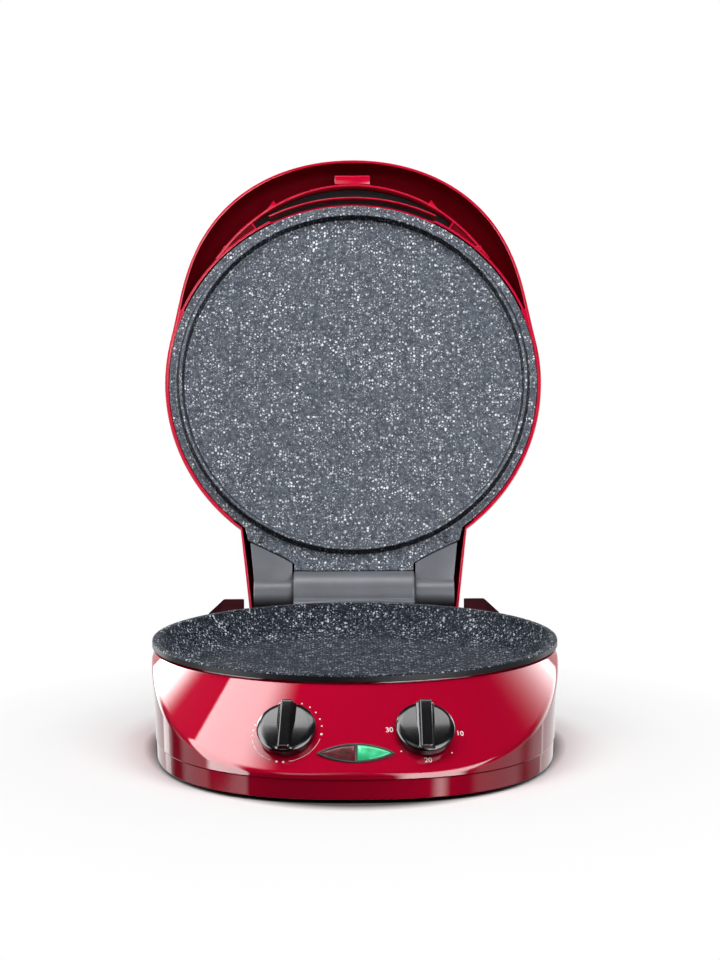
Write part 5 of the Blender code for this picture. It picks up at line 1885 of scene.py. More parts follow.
@dataclass
class LidShell:
    """The lid's red shell with its handle, and the walls and vent inside it.

    Attributes:
        plan: The lid's outlines.
        rim_wall: The thickness of the wall around the plate.
        rim_wall_angle: The azimuth at which it ends.
        dip: How much lower that wall stands in the middle.
        dip_angle: The azimuth at which the lower part ends.
        dip_ease: The turn over which it rises again.
        inner_wall_thickness: The thickness of the handle's inner wall.
        inner_wall_angle: The azimuth at which it ends.
        setback: How far the walls' edges lie behind the lid's rim.
        notch_half_width: Half the width of the notch for the hinge.
        notch_end: The notch's upper end.
        vent_angle: The azimuth at which the vent insert ends.
        vent_depth: How far its face lies behind the rim.
        vent_thickness: Its thickness.
        rib_radius: The outer radius of the rib on the insert.
        rib_wall: The rib's thickness.
        rib_angle: The azimuth at which it ends.
        web_start: The azimuth at which a web starts.
        web_end: The azimuth at which it ends.
        web_end_wall: The turn that the web's end wall takes up.
        land_end: The azimuth at which a land ends.
        strip_thickness: The thickness of lands and webs.
        catch_size: Half the catch's width, and its height.
        boss_size: A boss's radius and height.
        boss_angle: The azimuth of its middle.
        fin: The corners of the fin that braces the inner wall.
    """

    plan: LidPlan = field(default_factory=LidPlan)
    rim_wall: float = 2.2 * MM
    rim_wall_angle: float = math.radians(66.5)
    dip: float = 6.5 * MM
    dip_angle: float = math.radians(26.5)
    dip_ease: float = math.radians(1.2)
    inner_wall_thickness: float = 2.0 * MM
    inner_wall_angle: float = math.radians(47)
    setback: float = 0.6 * MM
    notch_half_width: float = 57 * MM
    notch_end: float = 24.5 * MM
    vent_angle: float = math.radians(40)
    vent_depth: float = 9 * MM
    vent_thickness: float = 2 * MM
    rib_radius: float = 177.9 * MM
    rib_wall: float = 1.5 * MM
    rib_angle: float = math.radians(26)
    web_start: float = math.radians(31.5)
    web_end: float = math.radians(48)
    web_end_wall: float = math.radians(0.5)
    land_end: float = math.radians(140)
    strip_thickness: float = 3.5 * MM
    catch_size: Pair = (16.5 * MM, 8.5 * MM)
    boss_size: Pair = (2.5 * MM, 4.4 * MM)
    boss_angle: float = math.radians(42.4)
    fin: tuple[Pair, ...] = ((79.2 * MM, 366.2 * MM), (73.6 * MM, 374.6 * MM), (70.0 * MM, 369.6 * MM))

    def radii(self, edge: float, flat_steps: int, curve_steps: int) -> list[float]:
        """Radii over the dome and down its shoulder to an edge.

        Args:
            edge: The edge's radius.
            flat_steps: Steps over the dome.
            curve_steps: Steps down the shoulder.

        Returns:
            The radii.
        """
        dome = self.plan.dome_radius
        turns = spaced(0, math.pi / 2, curve_steps)[1:]
        return spaced(0, dome, flat_steps) + [dome + (edge - dome) * math.sin(turn) for turn in turns]

    def section(self, azimuth: float) -> list[Corner]:
        """The shell's section at an azimuth: outer skin, rim, inner skin.

        Args:
            azimuth: The azimuth.

        Returns:
            The section's corners.
        """
        plan = self.plan
        rim = plan.rim(azimuth)
        edge = rim - plan.draft
        inside = rim - plan.wall_inset(azimuth)
        under = inside - plan.draft
        inner_radii = self.radii(under, 6, 12)[::-1]
        return [
            *[(radius, -plan.depth(radius, azimuth, edge), 0.0) for radius in self.radii(edge, 14, 26)],
            (rim, 0.0, 0.75 * MM),
            (inside, 0.0, 0.75 * MM),
            *[(radius, -plan.depth(radius, azimuth, under, plan.wall), 0.0) for radius in inner_radii],
        ]

    def azimuths(self) -> list[float]:
        """The azimuths of the shell's sections.

        Returns:
            The azimuths, once round from the handle.
        """
        plan = self.plan
        corner = plan.tail_corner()
        turn = math.radians(0.3)
        half = spaced(0, plan.handle_angle, 62)
        half += spaced(plan.handle_angle, plan.tail_angle(), 50)[1:]
        half += spaced(plan.tail_angle(), corner - turn, 12)[1:]
        half += spaced(corner + turn, math.pi, 18)
        return half + [-angle for angle in half[-2:0:-1]]

    def shell(self) -> Mesh:
        """The shell, notched for the hinge.

        Returns:
            The shell's mesh.
        """
        mesh = self.plan.swept("lid_shell", self.azimuths(), self.section, 5, bar=False)
        outline = boxed(-self.notch_half_width, self.notch_half_width, -30 * MM, self.notch_end)
        return carved("lid_shell", mesh, [extruded("notch", outline, -70 * MM, 10 * MM, self.plan.world)])

    def rim_wall_top(self, azimuth: float) -> float:
        """How far the rim wall's edge lies behind the lid's rim: more in the middle, above the vent."""
        share = min(max((self.dip_angle - abs(azimuth)) / self.dip_ease, 0.0), 1.0)
        return self.setback + self.dip * share

    def standing_wall(
        self, outer: Turning, thick: float, angle: float, keep: float = 0.0, top: Turning | None = None
    ) -> Mesh:
        """A wall that stands on the shell's inside.

        Args:
            outer: The wall's outer radius at an azimuth.
            thick: Its thickness.
            angle: The azimuth at which it ends.
            keep: The least inner radius.
            top: How far its edge lies behind the lid's rim at an azimuth, if that changes.

        Returns:
            The wall.
        """

        def section(azimuth: float) -> list[Corner]:
            """The wall's section, with its foot in the shell.

            Args:
                azimuth: The azimuth.

            Returns:
                Its corners.
            """
            outside = outer(azimuth)
            inside = min(max(outside - thick, keep), outside - 0.05 * MM)
            edge = -top(azimuth) if top else -self.setback
            corners = [(outside, edge, 0.6 * MM), (inside, edge, 0.6 * MM)]
            for radius in (inside, outside):
                corners.append((radius, self.plan.under_skin(radius, azimuth) + 0.5 * MM, 0.0))
            return corners

        return self.plan.swept("wall", spaced(-angle, angle, 120), section, 4)

    def vent(self) -> Mesh:
        """The black insert at the bottom of the slot above the plate.

        Returns:
            The insert's mesh.
        """
        inside = self.plan.shell_radius + 0.3 * MM
        face, back = -self.vent_depth, -self.vent_depth - self.vent_thickness

        def section(azimuth: float) -> list[Corner]:
            """The insert's section.

            Args:
                azimuth: The azimuth.

            Returns:
                Its corners.
            """
            wall = self.plan.inner_wall(azimuth) - self.inner_wall_thickness
            outside = max(wall - 0.6 * MM, inside + 0.6 * MM)
            return bar_section(outside, inside, face, back, 0.3 * MM)

        return self.plan.swept("vent_insert", spaced(-self.vent_angle, self.vent_angle, 96), section, 2)

    def rib(self) -> Mesh:
        """The red rib on the vent insert.

        Returns:
            The rib's mesh.
        """
        outside, inside = self.rib_radius, self.rib_radius - self.rib_wall
        corners = bar_section(outside, inside, -self.setback, 0.3 * MM - self.vent_depth, 0.5 * MM)
        return self.plan.swept("vent_rib", spaced(-self.rib_angle, self.rib_angle, 72), lambda _: corners, 3)

    def catch(self) -> Mesh:
        """The tab in the middle of the handle's inner wall.

        Returns:
            The tab's mesh.
        """
        wide, tall = self.catch_size
        plan = self.plan
        start = plan.centre + plan.shell_radius + plan.inner_reach + 0.3 * MM
        outline = boxed(-wide, wide, start, start + tall)
        mesh = extruded("catch", outline, -10.4 * MM, -1.4 * MM, plan.world)
        return bevelled("catch", mesh, 0.7 * MM, 3)

    def flat_strip(self, side: Side, turns: Pair, inner: float, outer: Turning, top: float) -> Mesh:
        """A flat strip between two radii on one side of the lid.

        Args:
            side: The lid's side.
            turns: The azimuths at which it starts and ends.
            inner: Its inner radius.
            outer: Its outer radius at an azimuth.
            top: How far its face lies behind the lid's rim.

        Returns:
            The strip.
        """
        back = -top - self.strip_thickness

        def section(azimuth: float) -> list[Corner]:
            """The strip's section.

            Args:
                azimuth: The azimuth.

            Returns:
                Its corners.
            """
            outside = outer(azimuth)
            reach = min((outside - inner) * 0.3, 0.5 * MM)
            return [(outside, -top, 0.0), (inner, -top, reach), (inner, back, 0.0), (outside, back, 0.0)]

        return self.plan.swept("strip", [side.value * turn for turn in spaced(*turns, 90)], section, 3)

    def land(self, side: Side) -> Mesh:
        """The shell's flat land beside the plate, which closes the handle's hollow at its end.

        Args:
            side: The side on which it stands.

        Returns:
            The land.
        """
        plan = self.plan
        turns = (self.rim_wall_angle, self.land_end)
        inner = plan.plate_radius + 0.45 * MM
        return self.flat_strip(side, turns, inner, lambda turn: plan.rim(turn) - 1.2 * MM, 0.3 * MM)

    def web(self, side: Side, start: float, end: float, top: float) -> Mesh:
        """A flat web between the rim wall and the inner wall.

        Args:
            side: The side on which it stands.
            start: The azimuth at which it starts.
            end: The azimuth at which it ends.
            top: How far its face lies behind the lid's rim.

        Returns:
            The web.
        """
        plan = self.plan
        inner = plan.shell_radius - 0.9 * MM
        return self.flat_strip(side, (start, end), inner, lambda turn: plan.inner_wall(turn) - 0.4 * MM, top)

    def bosses(self, side: Side) -> list[Mesh]:
        """The round boss on a web, the web's end wall, and the fin that braces the inner wall.

        Args:
            side: The side on which it stands.

        Returns:
            The three meshes.
        """
        wide, tall = self.boss_size
        hole, deep = 1.1 * MM, tall - 1 * MM
        outline = [(0.0, 0.0), (wide, 0.0), (wide, tall), (hole, tall), (hole, deep), (0.0, deep)]
        reaches = (0.0, 0.0, 0.5 * MM, 0.2 * MM, 0.0, 0.0)
        corners = [(radius, height, reach) for (radius, height), reach in zip(outline, reaches)]
        boss = lathed("boss", rounded(corners, steps=3), 36)
        place = self.plan.polar(self.plan.shell_radius + 1.2 * MM, side.value * self.boss_angle, -5.2 * MM)
        boss.transform(Matrix.Translation(place) @ Matrix.Rotation(math.pi / 2 - self.plan.lean, 4, "X"))
        half = self.web_end_wall / 2
        end_wall = self.web(side, self.web_start - half, self.web_start + half, 0.9 * MM)
        outline = [(side.value * x, y) for x, y in self.fin]
        fin = extruded("fin", outline, -12 * MM, -3 * MM, self.plan.world)
        return [boss, end_wall, bevelled("fin", fin, 0.4 * MM, 2)]

    def paint_inside_shade_and_edge_highlight(self, piece: Thing) -> None:
        """Paints shade inside the shell with a darkened red, and a highlight on its rim with a brighter red.

        Args:
            piece: The shell.
        """
        # Material 1 is painted shade in a darkened red; material 2 is a painted highlight in a brighter red.
        piece.data.materials.append(SHADED_INSIDE_RED.material())
        piece.data.materials.append(LIT_EDGE_RED.material())
        out = self.plan.out()
        hub = self.plan.world(0, self.plan.centre, 0)
        for face in piece.data.polygons:
            arm = face.center - hub
            height = arm.dot(out)
            radial = (arm - out * height).normalized()
            if height < -1.2 * MM and (face.normal.dot(out) > 0.5 or face.normal.dot(radial) < -0.3):
                face.material_index = 1
            elif height > -1.2 * MM and face.normal.dot(out) > 0.3:
                face.material_index = 2

    def build(self) -> None:
        """Makes the shell and what stands in it."""
        plan = self.plan
        self.paint_inside_shade_and_edge_highlight(Ticket(Body.LID, Slot.RED, RED, ("lid_shell",)).hand_over(self.shell()))
        edge = plan.shell_radius - 0.3 * MM
        rim = self.standing_wall(lambda _: edge, self.rim_wall, self.rim_wall_angle, top=self.rim_wall_top)
        thick, angle = self.inner_wall_thickness, self.inner_wall_angle
        inner = self.standing_wall(plan.inner_wall, thick, angle, plan.shell_radius)
        # The rim wall, inner wall, catch, rib, lands and bosses take the brightened red, a painted highlight.
        Ticket(Body.LID, Slot.RED, LIT_EDGE_RED, ("lid_rim_wall",)).hand_over(rim)
        Ticket(Body.LID, Slot.RED, LIT_EDGE_RED, ("handle_inner_wall",)).hand_over(inner)
        Ticket(Body.LID, Slot.RED, LIT_EDGE_RED, ("handle_catch",)).hand_over(self.catch())
        Ticket(Body.LID, Slot.BLACK, VENT_BLACK, ("vent_insert",)).hand_over(self.vent())
        Ticket(Body.LID, Slot.RED, LIT_EDGE_RED, ("vent_rib",)).hand_over(self.rib())
        lands = joined("lid_lands", [self.land(side) for side in Side])
        Ticket(Body.LID, Slot.RED, LIT_EDGE_RED).hand_over(lands, "lid_lands")
        # The webs take the darkened red, as painted shade.
        webs = joined("lid_webs", [self.web(side, self.web_start, self.web_end, 2.2 * MM) for side in Side])
        Ticket(Body.LID, Slot.RED, SHADED_INSIDE_RED).hand_over(webs, "lid_webs")
        bosses = joined("lid_bosses", [piece for side in Side for piece in self.bosses(side)])
        Ticket(Body.LID, Slot.RED, LIT_EDGE_RED).hand_over(bosses, "lid_bosses")


@dataclass
class LidPlate:
    """The speckled upper plate with its ring, the grey hinge frame, and their screws.

    Attributes:
        plan: The lid's outlines.
        thickness: The plate's thickness.
        ring: The radii of the ring's outer foot, outer crest, inner crest and inner foot.
        ring_height: The ring's height.
        shoulder: Where the plate's outline leaves its circle towards the hinge, across and up.
        waist: Where it turns along the arms.
        tongue: Where the rear tongue starts.
        tail: The tongue's rear corner.
        barrel_radius: The radius of an arm's barrel.
        barrel_inner: Where the barrel starts, from the middle.
        barrel_outer: Where it ends.
        screw: A plate screw's place, across and up.
        tongue_outer: Where an arm's hidden tongue ends, from the middle.
        tongue_end: Its upper end.
        bridge: Half the hidden bridge's width, its lower edge and its upper edge.
    """

    plan: LidPlan = field(default_factory=LidPlan)
    thickness: float = 3 * MM
    ring: tuple[float, float, float, float] = (162.3 * MM, 159.5 * MM, 157.3 * MM, 155 * MM)
    ring_height: float = 8 * MM
    shoulder: Pair = (96 * MM, 50 * MM)
    waist: Pair = (64.5 * MM, 35 * MM)
    tongue: Pair = (53.9 * MM, 28.2 * MM)
    tail: Pair = (53.9 * MM, 21.7 * MM)
    barrel_radius: float = 13 * MM
    barrel_inner: float = 55.7 * MM
    barrel_outer: float = 90.3 * MM
    screw: Pair = (84 * MM, 50.5 * MM)
    tongue_outer: float = 80.2 * MM
    tongue_end: float = 56 * MM
    bridge: tuple[float, float, float] = (89.2 * MM, 39 * MM, 60 * MM)

    def chain(self) -> list[Pair]:
        """The plate's outline behind the circle, from its side to the middle of its rear edge.

        Returns:
            The outline's points.
        """
        start = math.pi - math.asin((self.shoulder[0] + 2.85 * MM) / self.plan.plate_radius)
        edge = self.plan.plate_radius
        first = (edge * math.sin(start), self.plan.centre + edge * math.cos(start))
        return [first, self.shoulder, self.waist, self.tongue, self.tail, (0.0, self.tail[1])]

    def turn_of(self, point: Pair) -> float:
        """A point's azimuth."""
        return math.atan2(point[0], point[1] - self.plan.centre)

    def edge(self, azimuth: float) -> float:
        """The plate's outline at an azimuth.

        Args:
            azimuth: The azimuth.

        Returns:
            The outline's radius.
        """
        chain = self.chain()
        turn = abs(azimuth)
        if turn <= self.turn_of(chain[0]):
            return self.plan.plate_radius
        for first, second in zip(chain, chain[1:]):
            if turn <= self.turn_of(second) + 1e-9:
                return self.plan.meet(turn, first, second)
        return self.plan.centre - self.tail[1]

    def azimuths(self) -> list[float]:
        """The azimuths of the plate's sections.

        Returns:
            The azimuths, once round from the handle.
        """
        stops = [self.turn_of(point) for point in self.chain()]
        half = spaced(0, stops[0], 120)
        for first, second in zip(stops, stops[1:]):
            half += spaced(first, second, 6)[1:]
        return half + [-angle for angle in half[-2:0:-1]]

    def plate(self) -> Mesh:
        """The upper plate.

        Returns:
            The plate's mesh.
        """
        outer_foot, outer_crest, inner_crest, inner_foot = self.ring

        def section(azimuth: float) -> list[Corner]:
            """The plate's section, from its middle over the ring and back.

            Args:
                azimuth: The azimuth.

            Returns:
                The section's corners.
            """
            edge = self.edge(azimuth)
            return [
                (0.0, 0.0, 0.0),
                (inner_foot, 0.0, 1.6 * MM),
                (inner_crest, self.ring_height, 1.1 * MM),
                (outer_crest, self.ring_height, 1.1 * MM),
                (outer_foot, 0.0, 1.8 * MM),
                (edge, 0.0, 1.3 * MM),
                (edge, -self.thickness, 0.5 * MM),
                (0.0, -self.thickness, 0.0),
            ]

        return self.plan.swept("lid_plate", self.azimuths(), section, 5, bar=False)

    def paint_ring_shadow(self, plate: Thing) -> None:
        """Paints shadow on the ring's steep sides with a darkened copy of the coating.

        Args:
            plate: The plate.
        """
        foot = self.plan.world(0, 0, 0)
        out = self.plan.out()
        plate.data.materials.append(RING_SHADOW_GRANITE.material())
        for face in plate.data.polygons:
            height = (face.center - foot).dot(out)
            # Steep faces between the ring's foot and crest take the painted shadow.
            if 0.6 * MM < height < self.ring_height - 0.6 * MM and abs(face.normal.dot(out)) < 0.85:
                face.material_index = 1

    def arm_outline(self, side: Side) -> list[Pair]:
        """The visible face of one hinge arm.

        Args:
            side: The side on which it stands.

        Returns:
            The outline in the lid's frame.
        """
        outer = self.plan.tail_half_width - self.plan.wall - 1 * MM
        inner = self.barrel_inner
        points = [
            (inner, 0.0),
            (outer - 0.5 * MM, 0.0),
            (outer, self.barrel_radius),
            (self.shoulder[0] - 2 * MM, self.shoulder[1] - 1.5 * MM),
            (self.waist[0], self.waist[1] - 1 * MM),
            (inner, self.waist[1] - (self.waist[0] - inner) / 2 - 1.5 * MM),
        ]
        return [(side.value * x, y) for x, y in points]

    def arm(self, side: Side) -> list[Mesh]:
        """One arm: its face, the tongue behind the plate, and its barrel.

        Args:
            side: The side on which it stands.

        Returns:
            The three meshes.
        """
        world = self.plan.world
        face = extruded("arm_face", self.arm_outline(side), -10 * MM, -1 * MM, world)
        low, high = sorted((side.value * self.barrel_inner, side.value * self.tongue_outer))
        tongue = boxed(low, high, self.barrel_radius, self.tongue_end)
        back = extruded("arm_tongue", tongue, -9.7 * MM, -3.45 * MM, world)
        corners: list[Corner] = [
            (PIN_HOLE, self.barrel_inner, 0.0),
            (self.barrel_radius, self.barrel_inner, 0.8 * MM),
            (self.barrel_radius, self.barrel_outer, 0.8 * MM),
            (PIN_HOLE, self.barrel_outer, 0.0),
        ]
        outline = rounded(corners, looped=True, steps=4)
        rows = []
        for turn in all_round(72):
            along, out = math.cos(turn), math.sin(turn)
            rows.append([world(side.value * point.y, point.x * along, point.x * out) for point in outline])
        barrel = lofted("barrel", rows, looped=True)
        return [bevelled("arm_face", face, 0.8 * MM, 3), bevelled("arm_tongue", back, 0.5 * MM, 2), barrel]

    def frame_mesh(self) -> Mesh:
        """The grey frame: two arms joined by a bridge behind the plate.

        Returns:
            The frame's mesh.
        """
        wide, low, high = self.bridge
        bar = extruded("bridge", boxed(-wide, wide, low, high), -7.8 * MM, -3.3 * MM, self.plan.world)
        bridge = bevelled("bridge", bar, 0.6 * MM, 2)
        return joined("lid_frame", [bridge, *self.arm(Side.LEFT), *self.arm(Side.RIGHT)])

    def build(self, copies: CopiesRecipe) -> None:
        """Makes the plate, the frame and the screws.

        Args:
            copies: The tree that sets copies at places.
        """
        self.paint_ring_shadow(Ticket(Body.LID, Slot.GRANITE, GRANITE, ("lid_plate",)).hand_over(self.plate()))
        Ticket(Body.LID, Slot.GREY, HINGE_GREY, ("lid_frame",)).hand_over(self.frame_mesh())
        across, up = self.screw
        out = self.plan.out()
        places = [(self.plan.world(side.value * across, up, 0.3 * MM), out, 1.0) for side in Side]
        shape = screw_shape(3.2 * MM, 1.2 * MM, 5.8 * MM)
        mesh = copies.place("plate_screws", shape, places, DARK_STEEL, 1.0)
        names = tuple(f"plate_screw_{side.name.lower()}" for side in Side)
        Ticket(Body.LID, Slot.STEEL, DARK_STEEL, names).hand_over(mesh, "plate_screws")
        redress(MATT_BLACK, "plate_carrier")


# Studio


@dataclass(frozen=True)
class SoftBox:
    """A rectangular studio lamp aimed at the appliance, which reflections leave out."""

    name: str
    place: Corner
    aim: Corner
    wide: float
    tall: float
    watts: float

    def build(self) -> None:
        """Makes the lamp."""
        lamp = bpy.data.lights.new(self.name, "AREA")
        lamp.shape = "RECTANGLE"
        lamp.size = self.wide
        lamp.size_y = self.tall
        lamp.energy = self.watts
        holder = placed(self.name, lamp)
        holder.location = self.place
        holder.rotation_euler = (Vector(self.aim) - Vector(self.place)).to_track_quat("-Z", "Y").to_euler()
        holder.visible_camera = False
        holder.visible_glossy = False


@dataclass(frozen=True)
class GlowPanel:
    """A soft panel of light on the studio's dark walls, given as directions from the appliance.

    Attributes:
        name: The panel's name.
        top: Where its top edge starts and ends.
        bottom: Where its bottom edge starts and ends.
        strength: Its brightness at the top and at the bottom.
        start: The share over which it fades at its start, at the top and at the bottom.
        end: The same at its end.
        rim: The share over which it fades at its top edge and at its bottom edge.
    """

    name: str
    top: tuple[Corner, Corner]
    bottom: tuple[Corner, Corner]
    strength: Pair
    start: Pair = (0.1, 0.1)
    end: Pair = (0.1, 0.1)
    rim: Pair = (0.1, 0.1)

    @classmethod
    def upright(cls, name: str, first: Pair, last: Pair, levels: Pair, **looks: Pair) -> "GlowPanel":
        """A panel whose top edge stands straight above its bottom edge.

        Args:
            name: The panel's name.
            first: Where it starts, across and behind.
            last: Where it ends.
            levels: The heights of its top and its bottom.
            **looks: Its strength, and its start, end and rim where they differ from the usual.

        Returns:
            The panel.
        """
        top, bottom = [((*first, level), (*last, level)) for level in levels]
        return cls(name, top, bottom, **looks)

    def glow(self, across: float, down: float) -> float:
        """The panel's brightness at a share of its width and of its height.

        Args:
            across: The share of the width.
            down: The share of the height.

        Returns:
            The brightness.
        """

        def mixed(pair: Pair) -> float:
            """A value between the top's and the bottom's."""
            return pair[0] + (pair[1] - pair[0]) * down

        brightness = mixed(self.strength)
        borders = [(across, mixed(self.start)), (1 - across, mixed(self.end))]
        borders += [(down, self.rim[0]), (1 - down, self.rim[1])]
        for inside, fade in borders:
            share = min(inside / fade, 1.0)
            brightness *= share * share * (3 - 2 * share)
        return brightness

    def toward(self, across: float, down: float) -> Vector:
        """The direction of a point of the panel.

        Args:
            across: The share of the width.
            down: The share of the height.

        Returns:
            The direction, of length 1.
        """
        upper = Vector(self.top[0]).lerp(Vector(self.top[1]), across)
        lower = Vector(self.bottom[0]).lerp(Vector(self.bottom[1]), across)
        return upper.lerp(lower, down).normalized()


def grid_face(row: int, column: int, wide: int) -> list[int]:
    """The corners of one face of a grid whose rows hold one point more than it has columns."""
    first = row * (wide + 1) + column
    return [first, first + 1, first + wide + 2, first + wide + 1]


@dataclass
class Surround:
    """The studio's dark walls and their soft panels of light, which only reflections show."""

    radius: float = 6.0
    middle: Corner = (0.0, 0.0, 0.1)
    dark: float = 0.015
    opening: float = math.radians(42)
    sill: float = math.radians(-32)
    lintel: float = math.radians(38)
    wall_grid: tuple[int, int] = (120, 60)
    panel_grid: tuple[int, int] = (64, 32)
    spacing: float = 0.02
    panels: tuple[GlowPanel, ...] = (
        GlowPanel(
            "tall panel left",
            top=((-0.55, 0.17, 0.82), (-0.19, -0.08, 0.98)),
            bottom=((-0.955, 0.06, -0.262), (-0.763, -0.588, -0.262)),
            strength=(11.0, 9.6),
            start=(0.04, 0.2),
            end=(0.45, 0.06),
            rim=(0.1, 0.02),
        ),
        GlowPanel.upright(
            "low glow left",
            (-0.94, 0.1),
            (-0.785, -0.575),
            (-0.265, -0.42),
            strength=(2.1, 1.4),
            start=(1.0, 1.0),
            rim=(0.1, 0.2),
        ),
        GlowPanel(
            "side panel left",
            top=((-0.50, 0.80, 0.45), (-0.55, 0.20, 0.82)),
            bottom=((-0.50, 0.82, -0.30), (-0.72, 0.62, -0.30)),
            strength=(24.0, 0.0),
            start=(0.05, 0.2),
            end=(0.42, 0.5),
            rim=(0.04, 0.1),
        ),
        GlowPanel.upright(
            "wall glow left",
            (-0.94, -0.05),
            (-0.8, 0.55),
            (0.05, -0.36),
            strength=(0.9, 0.9),
            start=(0.2, 0.2),
            end=(0.3, 0.3),
            rim=(0.2, 0.1),
        ),
        GlowPanel(
            "side panel right",
            top=((0.50, 0.80, 0.42), (0.56, 0.16, 0.82)),
            bottom=((0.60, 0.74, -0.30), (0.88, 0.29, -0.30)),
            strength=(9.4, 1.2),
            end=(0.95, 0.5),
            rim=(0.04, 0.2),
        ),
        GlowPanel.upright(
            "wall glow right",
            (0.82, -0.5),
            (0.88, 0.46),
            (0.05, -0.36),
            strength=(0.9, 0.9),
            start=(0.2, 0.2),
            end=(0.3, 0.3),
            rim=(0.2, 0.1),
        ),
        GlowPanel(
            "low panel right",
            top=((0.02, -0.82, 0.60), (0.90, -0.16, 0.49)),
            bottom=((0.20, -0.95, -0.262), (0.84, -0.52, -0.262)),
            strength=(9.0, 10.5),
            start=(0.4, 0.15),
            end=(0.06, 0.25),
            rim=(0.2, 0.02),
        ),
        GlowPanel.upright(
            "low glow right",
            (0.49, -0.825),
            (0.7, -0.68),
            (-0.265, -0.42),
            strength=(5.0, 3.6),
            start=(0.5, 0.5),
            end=(0.5, 0.5),
            rim=(0.1, 0.2),
        ),
        GlowPanel(
            "overhead strip left",
            top=((-0.46, 0.30, 0.88), (0.0, 0.20, 0.98)),
            bottom=((-0.42, -0.03, 0.90), (0.0, -0.165, 0.985)),
            strength=(8.0, 8.0),
            end=(0.02, 0.02),
            rim=(0.3, 0.05),
        ),
        GlowPanel(
            "overhead strip right",
            top=((0.0, 0.20, 0.98), (0.46, 0.30, 0.88)),
            bottom=((0.0, -0.165, 0.985), (0.42, -0.03, 0.90)),
            strength=(6.5, 6.5),
            start=(0.02, 0.02),
            rim=(0.3, 0.05),
        ),
        GlowPanel(
            "front panel",
            top=((-0.55, -0.52, 0.66), (0.10, -0.62, 0.66)),
            bottom=((-0.50, -0.82, 0.10), (0.06, -0.98, 0.10)),
            strength=(2.4, 2.0),
            start=(0.2, 0.2),
            end=(0.6, 0.6),
            rim=(0.3, 0.3),
        ),
    )

    def show(
        self, name: str, points: list[Vector], faces: list[list[int]], glows: list[float], clear: float
    ) -> None:
        """Adds a glowing surface that only reflections show.

        Args:
            name: Its name.
            points: Its points, as directions.
            faces: Its faces.
            glows: Each point's brightness.
            clear: How much of what lies behind it is seen through it, from 0 to 1.
        """
        mesh = bpy.data.meshes.new(name)
        mesh.from_pydata([tuple(Vector(self.middle) + point) for point in points], [], faces)
        mesh.attributes.new("glow", "FLOAT", "POINT")
        mesh.attributes["glow"].data.foreach_set("value", glows)
        board = NodeBoard(name)
        strength = board.add("ShaderNodeAttribute", attribute_name="glow").outputs["Fac"]
        light = board.add("ShaderNodeEmission", {"Color": WHITE, "Strength": strength})
        through = board.add("ShaderNodeBsdfTransparent", {"Color": (clear, clear, clear, 1)})
        both = board.add("ShaderNodeAddShader")
        board.feed(both.inputs[0], light.outputs[0])
        board.feed(both.inputs[1], through.outputs[0])
        board.surface(both.outputs[0])
        mesh.materials.append(board.material)
        piece = placed(name, mesh)
        for ray in ("camera", "diffuse", "transmission", "volume_scatter", "shadow"):
            setattr(piece, f"visible_{ray}", False)

    def walls(self) -> None:
        """Makes the dark walls, open towards the white backdrop."""
        turns, levels = self.wall_grid
        points = []
        for level in spaced(-math.pi / 2, math.pi / 2, levels):
            rise, flat = math.sin(level), math.cos(level)
            for turn in spaced(-math.pi, math.pi, turns):
                points.append(Vector((math.sin(turn) * flat, math.cos(turn) * flat, rise)) * self.radius)
        faces = []
        for row in range(levels):
            level = math.pi * (row + 0.5) / levels - math.pi / 2
            for column in range(turns):
                turn = 2 * math.pi * (column + 0.5) / turns - math.pi
                if abs(turn) < self.opening and self.sill < level < self.lintel:
                    continue
                faces.append(grid_face(row, column, turns))
        self.show("dark walls", points, faces, [self.dark] * len(points), 0.0)

    def build(self) -> None:
        """Makes the walls and the panels."""
        self.walls()
        wide, tall = self.panel_grid
        for number, panel in enumerate(self.panels, 1):
            reach = self.radius * (1 - self.spacing * number)
            shares = [(column / wide, row / tall) for row in range(tall + 1) for column in range(wide + 1)]
            points = [panel.toward(*share) * reach for share in shares]
            faces = [grid_face(row, column, wide) for row in range(tall) for column in range(wide)]
            self.show(panel.name, points, faces, [panel.glow(*share) for share in shares], 1.0)


